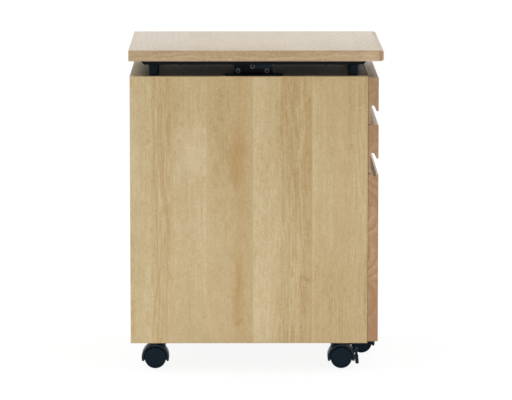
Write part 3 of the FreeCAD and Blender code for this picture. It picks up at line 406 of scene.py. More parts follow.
    # What darkens the wood: the slow wander, the year rings, and layers that each have a cell across, a cell
    # along, detail, weight, the staves where they show, and the straight or bent grain that they follow
    swings = [(clouds["wander"][0], -WANDER_TONE / 2, WANDER_TONE / 2, None),
              (growth, -GROWTH_MEAN * rings, (1 - GROWTH_MEAN) * rings, None)]
    for word, cell, length, detail, weight, where, vector in (
            ("fibre", 1.4, 24, 3.0, 0.16, None, own), ("stripe", 2.4, 420, 2.0, 1.55, straight, bent),
            ("mottle", 9, 16, 3.0, 0.65, loose, own), ("fleck", 3.2, 4.5, 2.0, 0.85, None, bent)):
        grid = add_node(tree, "ShaderNodeMapping",
                        {"Vector": vector, "Scale": (1 / cell, 1 / cell, 1 / length)}).outputs[0]
        clouds[word] = add_node(tree, "ShaderNodeTexNoise",
                                {"Vector": grid, "Scale": 1.0, "Detail": detail}).outputs
        swings.append((clouds[word][0], -weight / 2, weight / 2, where))
    for pattern, least, most, where in swings:
        swing = add_node(tree, "ShaderNodeMapRange", {
            "Value": pattern, "To Min": least * contrast, "To Max": most * contrast}).outputs[0]
        if where is not None:
            swing = add_node(tree, "ShaderNodeMath", {0: swing, 1: where}, operation="MULTIPLY").outputs[0]
        if where is straight:
            heat = add_node(tree, "ShaderNodeMath", {0: swing, 1: STRIPE_HEAT, 2: heat},
                            operation="MULTIPLY_ADD").outputs[0]
        shade = add_node(tree, "ShaderNodeMath", {0: shade, 1: swing}, operation="ADD").outputs[0]

    # Short dark pores, drawn wider than the real ones so that they show
    grid = add_node(tree, "ShaderNodeMapping",
                    {"Vector": own, "Scale": (1 / PORE_WIDTH, 1 / PORE_WIDTH, 1 / PORE_LENGTH)}).outputs[0]
    dashes = add_node(tree, "ShaderNodeTexNoise", {"Vector": grid, "Scale": 1.0, "Detail": 1.0}).outputs[0]
    pore = add_node(tree, "ShaderNodeMapRange",
                    {"Value": dashes, "From Min": PORE_FROM, "From Max": PORE_FULL}).outputs[0]
    shade = add_node(tree, "ShaderNodeMath", {0: pore, 1: PORE_TONE * contrast, 2: shade},
                     operation="MULTIPLY_ADD").outputs[0]

    # Stains, ragged along the grain and streaked by its fibres
    ragged = trunk
    for word, fray in (("wave", STAIN_WAVES), ("fleck", STAIN_FLECKS)):
        ragged = add_node(tree, "ShaderNodeVectorMath", {0: clouds[word]["Color"], 1: fray, 2: ragged},
                          operation="MULTIPLY_ADD").outputs[0]
    shift_across, _, shift_along = (Vector(STAIN_WAVES) + Vector(STAIN_FLECKS)) / 2
    streak = add_node(tree, "ShaderNodeMapRange", {
        "Value": clouds["fibre"][0], "From Min": NOISE_LOW, "From Max": NOISE_HIGH, "To Min": STREAK_LEAST,
        "To Max": STREAK_MOST}).outputs[0]
    for across_at, along_at, across_reach, along_reach, extra_tone, extra_heat in stains:
        ball = add_node(tree, "ShaderNodeMapping", {
            "Vector": ragged, "Location": (across_at + shift_across, 0, along_at + shift_along),
            "Scale": (across_reach, STAIN_DEPTH, along_reach)}, vector_type="TEXTURE").outputs[0]
        ball = add_node(tree, "ShaderNodeTexGradient", {"Vector": ball}, gradient_type="SPHERICAL").outputs[1]
        ball = add_node(tree, "ShaderNodeMath", {0: ball, 1: streak}, operation="MULTIPLY").outputs[0]
        shade = add_node(tree, "ShaderNodeMath", {0: ball, 1: extra_tone, 2: shade},
                         operation="MULTIPLY_ADD").outputs[0]
        heat = add_node(tree, "ShaderNodeMath", {0: ball, 1: extra_heat, 2: heat},
                        operation="MULTIPLY_ADD").outputs[0]

    # Cut ends of the fibres are darker and redder
    facing = add_node(tree, "ShaderNodeNewGeometry").outputs["Normal"]
    facing = add_node(tree, "ShaderNodeSeparateXYZ", {0: facing}).outputs[along]
    facing = add_node(tree, "ShaderNodeMath", {0: facing}, operation="ABSOLUTE").outputs[0]
    cut_end = add_node(tree, "ShaderNodeMapRange",
                       {"Value": facing, "From Min": CUT_FROM, "From Max": CUT_FULL}).outputs[0]
    end_tone, end_heat = end
    shade = add_node(tree, "ShaderNodeMath", {0: cut_end, 1: end_tone, 2: shade},
                     operation="MULTIPLY_ADD").outputs[0]
    heat = add_node(tree, "ShaderNodeMath", {0: cut_end, 1: end_heat, 2: heat},
                    operation="MULTIPLY_ADD").outputs[0]

    # Tone and warmth choose the colour, and the fibres break up the sheen
    tint = light
    for amount, other in ((shade, dark), (heat, warm)):
        tint = add_node(tree, "ShaderNodeMix", {"Factor": amount, "A": tint, "B": other}, data_type="RGBA",
                        clamp_factor=True).outputs["Result"]
    tree.links.new(tint, shader.inputs["Base Color"])
    gloss = add_node(tree, "ShaderNodeMapRange", {
        "Value": clouds["fibre"][0], "To Min": roughness - LACQUER_SWING,
        "To Max": roughness + LACQUER_SWING}).outputs[0]
    tree.links.new(gloss, shader.inputs["Roughness"])
    shader.inputs["Specular IOR Level"].default_value = shine
    relief = add_node(tree, "ShaderNodeMath", {0: clouds["fibre"][0], 1: FIBRE_SHARE},
                      operation="MULTIPLY").outputs[0]
    relief = add_node(tree, "ShaderNodeMath", {0: relief, 1: pore}, operation="SUBTRACT").outputs[0]
    bump = add_node(tree, "ShaderNodeBump",
                    {"Height": relief, "Strength": FIBRE_RELIEF, "Distance": FIBRE_DEPTH * MM})
    tree.links.new(bump.outputs[0], shader.inputs["Normal"])
    return material


def grained(name, tint, roughness, grain, metallic=0.0, relief=0.15, depth=0.03, shine=0.5, gleam=None):
    """Coat or moulding whose even texture breaks up its gloss, drawn coarser than the real one to show."""
    material, tree, shader = new_material(name)
    spot = add_node(tree, "ShaderNodeTexCoord").outputs["Object"]
    peel = add_node(tree, "ShaderNodeTexNoise", {"Vector": spot, "Scale": 1 / grain, "Detail": 2.0})
    cloud = add_node(tree, "ShaderNodeTexNoise", {"Vector": spot, "Scale": 1 / CLOUD_SIZE, "Detail": 3.0})
    worn = [min(1.0, channel * CLOUD_GAIN + CLOUD_LIFT) for channel in tint[:3]] + [1.0]
    mix = add_node(tree, "ShaderNodeMix", {"Factor": cloud.outputs[0], "A": tint, "B": worn},
                   data_type="RGBA")
    tree.links.new(mix.outputs["Result"], shader.inputs["Base Color"])
    gloss = add_node(tree, "ShaderNodeMapRange", {
        "Value": cloud.outputs[0], "From Min": NOISE_LOW, "From Max": NOISE_HIGH,
        "To Min": roughness - COAT_SWING, "To Max": roughness + COAT_SWING})
    tree.links.new(gloss.outputs[0], shader.inputs["Roughness"])
    bump = add_node(tree, "ShaderNodeBump",
                    {"Height": peel.outputs[0], "Strength": relief, "Distance": depth * MM})
    tree.links.new(bump.outputs[0], shader.inputs["Normal"])
    shader.inputs["Metallic"].default_value = metallic
    shader.inputs["Specular IOR Level"].default_value = shine
    if gleam:
        shader.inputs["Specular Tint"].default_value = gleam
    return material


def white_paper(stage):
    """Seamless paper, matt and white: only a faint shadow shows on it, and from below it is clear."""
    material, tree, shader = new_material("white paper")
    shader.inputs["Base Color"].default_value = stage.paper
    shader.inputs["Roughness"].default_value = 0.9
    shader.inputs["Specular IOR Level"].default_value = 0.0
    rays = add_node(tree, "ShaderNodeLightPath").outputs
    seen = rays["Is Camera Ray"]
    for kind in ("Is Glossy Ray", "Is Transmission Ray"):
        seen = add_node(tree, "ShaderNodeMath", {0: seen, 1: rays[kind]}, operation="MAXIMUM").outputs[0]
    spot = add_node(tree, "ShaderNodeTexCoord").outputs["Object"]
    away = add_node(tree, "ShaderNodeVectorMath", {0: spot}, operation="LENGTH").outputs["Value"]
    share = add_node(tree, "ShaderNodeMapRange", {
        "Value": away, "From Min": WHITE_FROM, "From Max": WHITE_FULL, "To Min": WHITE_LEAST, "To Max": 1.0},
        interpolation_type="SMOOTHSTEP").outputs[0]
    veil = add_node(tree, "ShaderNodeMath", {0: seen, 1: share}, operation="MULTIPLY").outputs[0]
    white = add_node(tree, "ShaderNodeEmission", {"Color": WHITE, "Strength": PAPER_GLOW}).outputs[0]
    paper = add_node(tree, "ShaderNodeMixShader", {0: veil, 1: shader.outputs[0], 2: white}).outputs[0]
    below = add_node(tree, "ShaderNodeNewGeometry").outputs["Backfacing"]
    clear = add_node(tree, "ShaderNodeBsdfTransparent").outputs[0]
    paper = add_node(tree, "ShaderNodeMixShader", {0: below, 1: paper, 2: clear}).outputs[0]
    output = next(node for node in tree.nodes if node.type == "OUTPUT_MATERIAL")
    tree.links.new(paper, output.inputs["Surface"])
    return material


def soft_room(stage):
    """World that lights from above and from low down at both sides, and is plain white to the camera."""
    world = bpy.data.worlds.new("soft room")
    world.use_nodes = True
    tree = world.node_tree
    tree.nodes.clear()
    heading = add_node(tree, "ShaderNodeTexCoord").outputs["Generated"]
    heading = add_node(tree, "ShaderNodeSeparateXYZ", {0: heading}).outputs
    sideways = add_node(tree, "ShaderNodeMath", {0: heading["X"]}, operation="ABSOLUTE").outputs[0]
    low = add_node(tree, "ShaderNodeMapRange", {
        "Value": sideways, "From Min": SIDEWAYS_FROM, "From Max": SIDEWAYS_FULL, "To Min": stage.dusk,
        "To Max": stage.wings}, interpolation_type="SMOOTHSTEP").outputs[0]
    above = add_node(tree, "ShaderNodeMapRange", {
        "Value": heading["Z"], "From Min": UPWARD_FROM, "From Max": UPWARD_FULL, "To Min": low,
        "To Max": stage.sky}, interpolation_type="SMOOTHSTEP").outputs[0]
    # Plain white is what the camera sees, and what the object's sheen shows of the room behind it
    behind = add_node(tree, "ShaderNodeMapRange",
                      {"Value": heading["Y"], "From Min": BEHIND_FROM, "From Max": BEHIND_FULL},
                      interpolation_type="SMOOTHSTEP").outputs[0]
    rays = add_node(tree, "ShaderNodeLightPath").outputs
    plain = add_node(tree, "ShaderNodeMath", {0: behind, 1: rays["Is Glossy Ray"]},
                     operation="MULTIPLY").outputs[0]
    plain = add_node(tree, "ShaderNodeMath", {0: plain, 1: rays["Is Camera Ray"]},
                     operation="MAXIMUM").outputs[0]
    power = add_node(tree, "ShaderNodeMath", {0: above, 1: plain}, operation="MAXIMUM").outputs[0]
    sky = add_node(tree, "ShaderNodeBackground", {"Color": WHITE, "Strength": power})
    add_node(tree, "ShaderNodeOutputWorld", {"Surface": sky.outputs[0]})
    world.cycles.sampling_method = "NONE"
    return world


def dress(nodes, material):
    """Give CAD nodes a finish."""
    for name in nodes:
        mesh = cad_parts[name].data
        mesh.materials.clear()
        mesh.materials.append(material)


def finish_piece(piece, name, body, material):
    """Name a modelled piece, give it its finish and let it ride on a body."""
    piece.name = name
    piece.data.name = name
    piece.data.materials.clear()
    piece.data.materials.append(material)
    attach(piece, body)


def only(piece):
    """Select one piece and nothing else."""
    bpy.ops.object.select_all(action="DESELECT")
    piece.select_set(True)
    bpy.context.view_layer.objects.active = piece


def settle():
    """Put the place, turn and scale of what is selected into its mesh."""
    bpy.ops.object.transform_apply(location=True, rotation=True, scale=True)


def smooth(piece, degrees):
    """Shade a piece smooth where its faces meet at less than an angle."""
    only(piece)
    bpy.ops.object.shade_smooth_by_angle(angle=math.radians(degrees))


def pick_edges(piece, wanted):
    """Select the edges of the active piece whose two ends both pass a test, and stay in edit mode."""
    bpy.ops.object.mode_set(mode="EDIT")
    bpy.ops.mesh.select_mode(type="EDGE")
    bpy.ops.mesh.select_all(action="DESELECT")
    bpy.ops.object.mode_set(mode="OBJECT")
    points = piece.data.vertices
    for edge in piece.data.edges:
        edge.select = all(wanted(points[end].co) for end in edge.vertices)
    bpy.ops.object.mode_set(mode="EDIT")


def carve(piece, tool):
    """Cut one piece out of another and drop it."""
    cut = piece.modifiers.new("cut", "BOOLEAN")
    cut.operation = "DIFFERENCE"
    cut.solver = "EXACT"
    cut.object = tool
    bpy.context.view_layer.objects.active = piece
    bpy.ops.object.modifier_apply(modifier=cut.name)
    bpy.data.objects.remove(tool)


def block(low, high):
    """Plain block between two corners."""
    bpy.ops.object.select_all(action="DESELECT")
    bpy.ops.mesh.primitive_cube_add(size=1.0, location=(low + high) / 2)
    piece = bpy.context.object
    piece.scale = high - low
    settle()
    return piece


def slab(low, high, ease):
    """Board between two corners, with eased edges."""
    board = block(low, high)
    bpy.ops.object.mode_set(mode="EDIT")
    bpy.ops.mesh.select_all(action="SELECT")
    bpy.ops.mesh.bevel(offset=ease, segments=EASE_STEPS, affect="EDGES")
    bpy.ops.object.mode_set(mode="OBJECT")
    smooth(board, BOARD_ANGLE)
    return board


def domed_disc(diameter, height, dome_share, steps):
    """Disc that stands on the origin, its upper edge rounded by a share of its height."""
    bpy.ops.object.select_all(action="DESELECT")
    bpy.ops.mesh.primitive_cylinder_add(vertices=ROUND_SIDES, radius=diameter / 2, depth=height,
                                        location=(0, 0, height / 2))
    disc = bpy.context.object
    settle()
    pick_edges(disc, lambda point: point.z > height / 2)
    bpy.ops.mesh.bevel(offset=dome_share * height, segments=steps, affect="EDGES")
    bpy.ops.object.mode_set(mode="OBJECT")
    return disc


def cross_screw(diameter, height, recess):
    """Pan head with a cross recess that narrows downwards, standing upright on the origin."""
    head = domed_disc(diameter, height, PAN_DOME_SHARE, DOME_STEPS)
    for turn in (0, 90):
        bpy.ops.mesh.primitive_cube_add(size=1.0, location=(0, 0, height))
        blade = bpy.context.object
        blade.scale = (BLADE_LENGTH_SHARE * diameter, BLADE_WIDTH_SHARE * diameter, 2 * recess)
        blade.rotation_euler.z = math.radians(turn)
        settle()
        pick_edges(blade, lambda point: point.z < height)
        bpy.ops.transform.resize(value=(BLADE_TIP_SHARE, BLADE_TIP_SHARE, 1.0),
                                 center_override=(0, 0, height - recess))
        bpy.ops.object.mode_set(mode="OBJECT")
        carve(head, blade)
    smooth(head, HEAD_ANGLE)
    return head


def socket_screw(diameter, height, recess):
    """Button head with a six-sided socket, standing upright on the origin."""
    head = domed_disc(diameter, height, BUTTON_DOME_SHARE, DOME_STEPS)
    bpy.ops.mesh.primitive_cylinder_add(vertices=SOCKET_SIDES, radius=SOCKET_RADIUS_SHARE * diameter,
                                        depth=2 * recess, location=(0, 0, height))
    socket = bpy.context.object
    settle()
    carve(head, socket)
    smooth(head, HEAD_ANGLE)
    return head


def washer_ring(outer, inner, thickness):
    """Flat ring with a rounded upper edge, standing upright on the origin."""
    ring = domed_disc(outer, thickness, WASHER_DOME_SHARE, WASHER_STEPS)
    bpy.ops.mesh.primitive_cylinder_add(vertices=ROUND_SIDES, radius=inner / 2, depth=4 * thickness,
                                        location=(0, 0, 0))
    bore = bpy.context.object
    settle()
    carve(ring, bore)
    smooth(ring, HEAD_ANGLE)
    return ring


def brake_grip(low, high, lean):
    """Block moulded over the lower end of a lever, rounded below and leaning back with the lever above."""
    grip = block(low, high)
    middle = (low.z + high.z) / 2
    pick_edges(grip, lambda point: point.z > middle)
    bpy.ops.transform.translate(value=(-lean, 0.0, 0.0))
    bpy.ops.object.mode_set(mode="OBJECT")
    pick_edges(grip, lambda point: point.z < middle)
    bpy.ops.mesh.bevel(offset=GRIP_ROUND_SHARE * (high.x - low.x), segments=GRIP_STEPS, affect="EDGES")
    bpy.ops.object.mode_set(mode="OBJECT")
    smooth(grip, GRIP_ANGLE)
    return grip


def set_out(template, places, turn):
    """Copies of one piece at several places, turned about X and joined. The piece itself is dropped."""
    copies = []
    for at in places:
        only(template)
        bpy.ops.object.duplicate()
        copy = bpy.context.object
        copy.rotation_euler.x = math.radians(turn)
        copy.location = at
        settle()
        copies.append(copy)
    only(copies[0])
    for copy in copies:
        copy.select_set(True)
    if len(copies) > 1:
        bpy.ops.object.join()
    bpy.data.objects.remove(template)
    return copies[0]


class PEDESTAL_OT_stage(bpy.types.Operator):
    """Lay the floor, light the room, hang the lights and set the camera"""
    bl_idname = "pedestal.stage"
    bl_label = "Stage"

    def execute(self, context):
        stage = settings()[2]
        bpy.ops.object.select_all(action="DESELECT")
        bpy.ops.mesh.primitive_plane_add(size=stage.floor_size)
        floor = context.object
        floor.name = "floor"
        floor.data.materials.append(white_paper(stage))
        context.scene.world = soft_room(stage)

        for name, at, side, share in SOFT_BOXES:
            bpy.ops.object.light_add(type="AREA", location=at)
            box = context.object
            box.name = name + " soft box"
            box.data.size = side
            box.data.energy = stage.boxes * share
            box.rotation_euler = (SOFT_BOX_AIM - box.location).to_track_quat("-Z", "Y").to_euler()
        bpy.ops.object.light_add(type="AREA", location=STRIP_PLACE)
        strip = context.object
        strip.name = "low fill strip"
        strip.data.shape = "RECTANGLE"
        strip.data.size = STRIP_LENGTH
        strip.data.size_y = STRIP_HEIGHT
        strip.data.energy = stage.fill
        strip.rotation_euler.x = math.radians(90)

        bpy.ops.object.camera_add(location=stage.eye)
        camera = context.object
        aim = Vector(stage.aim) - Vector(stage.eye)
        camera.rotation_euler = aim.to_track_quat("-Z", "Y").to_euler()
        camera.data.lens = stage.lens
        camera.data.sensor_width = SENSOR
        camera.data.clip_end = FARTHEST
        context.scene.camera = camera
        context.scene.view_settings.view_transform = "Standard"
        return {"FINISHED"}


class PEDESTAL_OT_top(bpy.types.Operator):
    """Build the veneered top board with its edge bands and a dark film under it that paints shade into the
    gap, and finish its lipping
    """
    bl_idname = "pedestal.top"
    bl_label = "Top board"

    def execute(self, context):
        wood = settings()[0]
        finish = (wood.top_light, wood.top_dark, wood.top_warm)
        band_finish = (wood.band_light, wood.band_dark, wood.top_warm)
        solid = (wood.top_light, wood.top_dark, wood.solid_warm)
        # Sliced oak veneer under satin lacquer: pale wide staves with long arches, and a soft sheen along the
        # fibres
        veneer = timber("oak veneer, satin lacquer, top", finish, "Y", "X", TOP_STAVES, heart=500, lean=11,
                        rings=0.35, ring=10, roughness=0.32)
        # Oak edge band, sliced along the grain and lacquered: straight lines, a little browner than the face
        edge_staves = plain_staves(*EDGE_SPAN, seed=3, lines=0.8)
        band = timber("oak edge band, satin lacquer", band_finish, "X", "Z", edge_staves, rings=0.08,
                      ring=9.0)
        rear_band = timber("oak edge band, satin lacquer, rear", band_finish, "Y", "Z", edge_staves,
                           rings=0.08, ring=9.0)
        # Dark film pressed under the board as painted shade for the gap: even and dark with a dull sheen, so
        # that little light comes back into the gap
        film = grained("dark film, painted shade under the top", wood.shade_film_tint, roughness=0.5,
                       grain=wood.shade_film_grain, relief=0.05, shine=0.2)
        # Solid strip, planed and oiled: close straight grain, darker and redder where its ends are cut
        lipping_staves = plain_staves(*EDGE_SPAN, seed=8, lines=0.6, heat=0.0)
        lipping = timber("solid wood lipping, oiled", solid, "Y", "Z", lipping_staves, heart=230, rings=0.3,
                         ring=3.5, end=(1.0, 0.75))

        low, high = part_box("top_board")
        strip = wood.band
        inner_low = low + Vector((strip, strip, 0.0))
        inner_high = high - Vector((0.0, strip, 0.0))
        core_low = inner_low + Vector((0.0, 0.0, wood.backing))
        board = slab(core_low, inner_high, wood.ease * CORE_EASE_SHARE)
        finish_piece(board, "top_panel", "lift_top", veneer)
        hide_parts("top_board")
        band_ease = wood.ease * BAND_EASE_SHARE
        glued_on = (
            ("top_edge_band_left", low, Vector((high.x, inner_low.y, high.z)), band, band_ease),
            ("top_edge_band_right", Vector((low.x, inner_high.y, low.z)), high, band, band_ease),
            # The dark film under the core, a sheet of painted shade for the gap
            ("top_shade_film", inner_low, Vector((inner_high.x, inner_high.y, core_low.z)), film,
             wood.backing * FILM_EASE_SHARE),
            ("top_edge_band_rear", Vector((low.x, inner_low.y, low.z)),
             Vector((inner_low.x, inner_high.y, high.z)), rear_band, band_ease))
        for name, piece_low, piece_high, material, ease in glued_on:
            finish_piece(slab(piece_low, piece_high, ease), name, "lift_top", material)
        dress(["top_lipping"], lipping)
        return {"FINISHED"}


class PEDESTAL_OT_cabinet(bpy.types.Operator):
    """Build the side panels with their edge bands, and finish the other panels"""
    bl_idname = "pedestal.cabinet"
    bl_label = "Cabinet"

    def execute(self, context):
        wood = settings()[0]
        finish = (wood.side_light, wood.side_dark, wood.side_warm)
        inside = (wood.shelf_light, wood.shelf_dark, wood.shelf_dark)
        # Oak veneer from matched staves under satin lacquer: each stave has its tone, some are close and
        # straight in the grain, some mottled, with a few brown stains, and the fibres break up the sheen
        uprights = {
            "left": timber("oak veneer, satin lacquer, left", finish, "Z", "X", SIDE_STAVES, SIDE_STAINS,
                           heart=-160, lean=3, rings=0.13, ring=4.5),
            "right": timber("oak veneer, satin lacquer, right", finish, "Z", "X", mirrored(SIDE_STAVES),
                            heart=160, lean=3, rings=0.13, ring=4.5)}
        # Oak edge band and veneer of the back, lacquered alike: the same wood, with quieter staves
        level = timber("oak edge band, satin lacquer, level", finish, "X", "Y",
                       plain_staves(*LEVEL_SPAN, seed=5))
        back = timber("oak veneer, satin lacquer, back", finish, "Z", "Y",
                      plain_staves(*BACK_SPAN, seed=12, lines=0.5), heart=-190, lean=3, rings=0.25, ring=4.5)
        # Oak veneer under a thin satin lacquer: dull from above, and grey with reflected light at a flat look
        shelf = timber("oak veneer, satin lacquer, cabinet top", inside, "Y", "X", mirrored(TOP_STAVES),
                       rings=0.2, ring=9.0, roughness=0.42, shine=0.1)

        strip = wood.band
        for name, upright in uprights.items():
            node = name + "_side_panel"
            low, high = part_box(node)
            inset = Vector((strip, 0.0, strip))
            panel = slab(low + inset, high - inset, wood.ease * CORE_EASE_SHARE)
            finish_piece(panel, name + "_panel", "cabinet", upright)
            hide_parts(node)
            rear, front = low.x + strip, high.x - strip
            edges = (
                ("front", Vector((front, low.y, low.z)), high + Vector((wood.front_seal, 0.0, 0.0)), upright),
                ("rear", low, Vector((rear, high.y, high.z)), upright),
                ("upper", Vector((rear, low.y, high.z - strip)), Vector((front, high.y, high.z)), level),
                ("lower", Vector((rear, low.y, low.z)), Vector((front, high.y, low.z + strip)), level))
            for side, edge_low, edge_high, edge_veneer in edges:
                edge = slab(edge_low, edge_high, wood.ease * BAND_EASE_SHARE)
                finish_piece(edge, name + "_panel_band_" + side, "cabinet", edge_veneer)
        dress(["back_panel"], back)
        dress(["cabinet_top", "bottom_panel"], shelf)
        return {"FINISHED"}


class PEDESTAL_OT_drawers(bpy.types.Operator):
    """Finish the drawer fronts, boxes and slides, and the caster stems"""
    bl_idname = "pedestal.drawers"
    bl_label = "Drawers"

    def execute(self, context):
        wood, metal, _ = settings()
        solid = (wood.solid_light, wood.solid_dark, wood.solid_warm)
        board = (wood.board_light, wood.board_dark, wood.board_dark)
        # Drawer board under clear lacquer: pale and quiet wood
        side = timber("drawer board, lacquered", board, "X", "Z", plain_staves(*BOX_SPAN, seed=31),
                      roughness=0.36)
        floor = timber("drawer bottom board, lacquered", board, "X", "Y",
                       plain_staves(*BOX_FLOOR_SPAN, seed=32), roughness=0.36)
        cross = timber("drawer back board, lacquered", board, "Y", "Z", plain_staves(*BOX_SPAN, seed=33),
                       roughness=0.36)
        # Rolled steel, zinc plated: light grey metal with a cloudy shine
        zinc = grained("zinc plated steel", metal.zinc, roughness=0.34, grain=metal.steel_grain, metallic=1.0,
                       relief=0.05)
        for name, seed, tone, blush, joints in DRAWER_FRONTS:
            drawer = name + "_drawer"
            low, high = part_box(drawer + "_front")
            staves = plain_staves(low.z / MM, high.z / MM, FRONT_STAVE, seed, tone, spread=0.26, lines=0.3,
                                  heat=0.08, joints=joints)
            # Solid staves glued side by side, planed and oiled: long arches on the face, and on the cut ends
            # wide curved rings in a redder brown, with a change of tone at each joint
            front = timber("solid wood, glued staves, oiled, " + name, solid, "Y", "Z", staves,
                           heart=low.x / MM - FRONT_HEART_DEPTH, lean=1.0, rings=0.45, ring=14.0,
                           contrast=1.1, roughness=0.32, end=(0.34, blush), spread=48, flush=0.32)
            dress([drawer + "_front"], front)
            dress([drawer + "_left_side", drawer + "_right_side"], side)
            dress([drawer + "_bottom"], floor)
            dress([drawer + "_back"], cross)
            dress([drawer + "_fixed_rails", drawer + "_runners"], zinc)
        dress(["bottom_drawer_middle_rails", "caster_stems", "drawer_caster_stem"], zinc)
        return {"FINISHED"}


class PEDESTAL_OT_lift(bpy.types.Operator):
    """Finish the lift mechanism under the top"""
    bl_idname = "pedestal.lift"
    bl_label = "Lift"

    def execute(self, context):
        metal = settings()[1]
        # Folded steel under black powder coat: almost black and dull, with a fine orange peel
        coat = grained("black powder coat on steel", metal.coat, roughness=0.48, grain=metal.coat_grain,
                       relief=0.2, shine=0.08)
        # Turned steel, zinc plated: small bright glints in the dark lift
        pins = grained("zinc plated pins", metal.zinc, roughness=0.3, grain=metal.steel_grain, metallic=1.0,
                       relief=0.05)
        # Stamped steel under satin paint: one shade lighter than the plate behind it
        paint = grained("satin grey paint on steel", metal.lever, roughness=0.4, grain=metal.coat_grain,
                        relief=0.1, shine=0.08)
        # Turned steel, blackened: dark with a soft edge light
        dark = grained("black oxide steel", metal.oxide, roughness=0.38, grain=metal.steel_grain, relief=0.05,
                       shine=0.1)
        # Moulded foot: black, matt and a little blue
        foot = grained("black moulded foot", metal.plastic, roughness=0.55, grain=metal.plastic_grain,
                       shine=0.08)
        dress(["lift_base", "latch_plate", "outer_arms", "inner_arms", "top_channel", "left_frame_bar",
               "right_frame_bar"], coat)
        dress(["lift_base_screws", "base_pivot_pins", "centre_pins", "top_pivot_pins", "upper_slide_rod",
               "lower_slide_rod"], pins)
        dress(["lock_lever"], paint)
        dress(["lock_shaft"], dark)
        dress(["rest_feet"], foot)
        return {"FINISHED"}


class PEDESTAL_OT_screws(bpy.types.Operator):
    """Model the screw heads and washers of the lift"""
    bl_idname = "pedestal.screws"
    bl_label = "Screws"

    def execute(self, context):
        metal = settings()[1]
        # Cold-formed screws, zinc plated: bright heads with dark crosses
        zinc = grained("zinc plated screw", metal.zinc, roughness=0.32, grain=metal.screw_grain, metallic=1.0,
                       relief=0.05)
        # Cold-formed screws, black plated: they hardly stand out from the plate
        black = grained("black zinc plated screw", metal.screw_black, roughness=0.4, grain=metal.screw_grain,
                        relief=0.05, shine=0.3)
        # Stamped washers, phosphated: thin matt grey rings
        grey = grained("phosphated steel washer", metal.washer_grey, roughness=0.5, grain=metal.screw_grain,
                       relief=0.05, shine=0.3)
        diameter, height, recess = metal.screw_head, metal.screw_height, metal.screw_recess
        rim = metal.washer_rim

        low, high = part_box("latch_screws")
        level = (low.z + high.z) / 2
        places = [(x, low.y + height, level) for x in (low.x + diameter / 2, high.x - diameter / 2)]
        head = socket_screw(diameter - 2 * rim, height, recess * SOCKET_DEPTH_SHARE)
        heads = set_out(head, places, LOOKING_OUT)
        finish_piece(heads, "latch_screw_heads", "cabinet", black)
        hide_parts("latch_screws")
        washers = set_out(washer_ring(diameter, diameter - 3 * rim, metal.washer), places, LOOKING_OUT)
        finish_piece(washers, "latch_screw_washers", "cabinet", grey)

        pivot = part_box("lock_lever")[0].x + metal.lever_hub / 2
        places = [(pivot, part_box("lock_shaft")[0].y, metal.lever_height)]
        washers = set_out(washer_ring(diameter, diameter - 2 * rim, metal.washer), places, LOOKING_OUT)
        finish_piece(washers, "lever_rivet_washer", "lock_lever", grey)

        low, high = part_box("lift_base_screws")
        places = [(x, y, high.z - height) for x in (low.x + diameter / 2, high.x - diameter / 2)
                  for y in (low.y + diameter / 2, high.y - diameter / 2)]
        heads = set_out(cross_screw(diameter, height, recess), places, LOOKING_UP)
        finish_piece(heads, "base_screw_heads", "cabinet", zinc)
        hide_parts("lift_base_screws")

        places = []
        for bar in ("left_frame_bar", "right_frame_bar"):
            low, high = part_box(bar)
            middle = (low + high) / 2
            reach = (high.x - low.x) * BAR_SCREW_REACH_SHARE
            places += [(middle.x + shift, middle.y, low.z) for shift in (-reach, 0.0, reach)]
        head = cross_screw(diameter * BAR_SCREW_SHARE, height * BAR_SCREW_SHARE, recess * BAR_SCREW_SHARE)
        heads = set_out(head, places, LOOKING_DOWN)
        finish_piece(heads, "frame_bar_screw_heads", "lift_top", black)
        return {"FINISHED"}


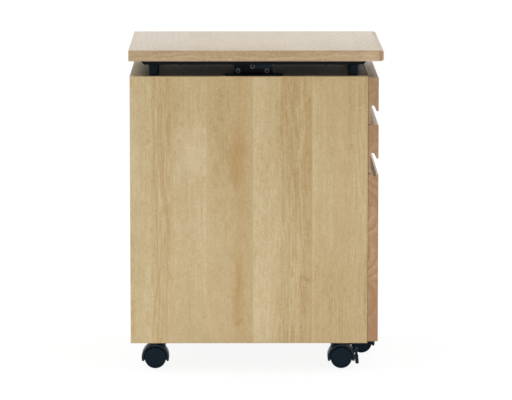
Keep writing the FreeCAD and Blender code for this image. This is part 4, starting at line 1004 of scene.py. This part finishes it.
class PEDESTAL_OT_casters(bpy.types.Operator):
    """Finish the casters, and model the grips on their brake levers"""
    bl_idname = "pedestal.casters"
    bl_label = "Casters"

    def execute(self, context):
        metal = settings()[1]
        # Nylon from a spark-eroded mould: bluish black with a broken sheen
        hood = grained("black moulded nylon, spark textured", metal.plastic, roughness=0.4,
                       grain=metal.plastic_grain, relief=0.12, shine=0.3, gleam=metal.gleam)
        # Nylon from a polished mould: bluish black with a faint clear light on the rims
        wheel = grained("black moulded nylon, smooth", metal.wheel, roughness=0.36, grain=metal.plastic_grain,
                        relief=0.06, shine=0.14, gleam=metal.gleam)
        for name in ("rear_left", "rear_right", "front_left", "front_right", "drawer"):
            dress([name + "_caster_hood"], hood)
            dress([name + "_caster_wheels"], wheel)
        wall = Vector((metal.grip, metal.grip, metal.grip))
        for brake in ("front_left_brake", "front_right_brake"):
            dress([brake + "_lever"], hood)
            low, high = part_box(brake + "_lever")
            middle = (low.y + high.y) / 2
            grip_low = Vector((high.x - metal.strip, middle - metal.strip_width / 2, low.z)) - wall
            grip_high = Vector((high.x, middle + metal.strip_width / 2, low.z + metal.grip_length)) + wall
            grip = brake_grip(grip_low, grip_high, metal.grip_lean)
            finish_piece(grip, brake + "_grip", brake, hood)
        return {"FINISHED"}


OPERATORS = (PEDESTAL_OT_stage, PEDESTAL_OT_top, PEDESTAL_OT_cabinet, PEDESTAL_OT_drawers, PEDESTAL_OT_lift,
             PEDESTAL_OT_screws, PEDESTAL_OT_casters)
GROUPS = (PedestalWood, PedestalMetal, PedestalStage)


class PEDESTAL_PT_sidebar(bpy.types.Panel):
    """Sidebar panel that lists the pedestal's operators and settings"""
    bl_idname = "PEDESTAL_PT_sidebar"
    bl_label = "Drawer pedestal"
    bl_space_type = "VIEW_3D"
    bl_region_type = "UI"
    bl_category = "Pedestal"

    def draw(self, context):
        for operator in OPERATORS:
            self.layout.operator(operator.bl_idname)
        for group in settings():
            box = self.layout.box()
            for name in group.bl_rna.properties.keys():
                if name not in ("name", "rna_type"):
                    box.prop(group, name)


def register():
    for group in GROUPS:
        bpy.utils.register_class(group)
    bpy.types.Scene.pedestal_wood = PointerProperty(type=PedestalWood)
    bpy.types.Scene.pedestal_metal = PointerProperty(type=PedestalMetal)
    bpy.types.Scene.pedestal_stage = PointerProperty(type=PedestalStage)
    for operator in OPERATORS:
        bpy.utils.register_class(operator)
    bpy.utils.register_class(PEDESTAL_PT_sidebar)


def unregister():
    bpy.utils.unregister_class(PEDESTAL_PT_sidebar)
    for operator in reversed(OPERATORS):
        bpy.utils.unregister_class(operator)
    del bpy.types.Scene.pedestal_wood
    del bpy.types.Scene.pedestal_metal
    del bpy.types.Scene.pedestal_stage
    for group in reversed(GROUPS):
        bpy.utils.unregister_class(group)


def main():
    register()
    bpy.ops.pedestal.stage()
    bpy.ops.pedestal.top()
    bpy.ops.pedestal.cabinet()
    bpy.ops.pedestal.drawers()
    bpy.ops.pedestal.lift()
    bpy.ops.pedestal.screws()
    bpy.ops.pedestal.casters()


if __name__ == "__main__":
    main()
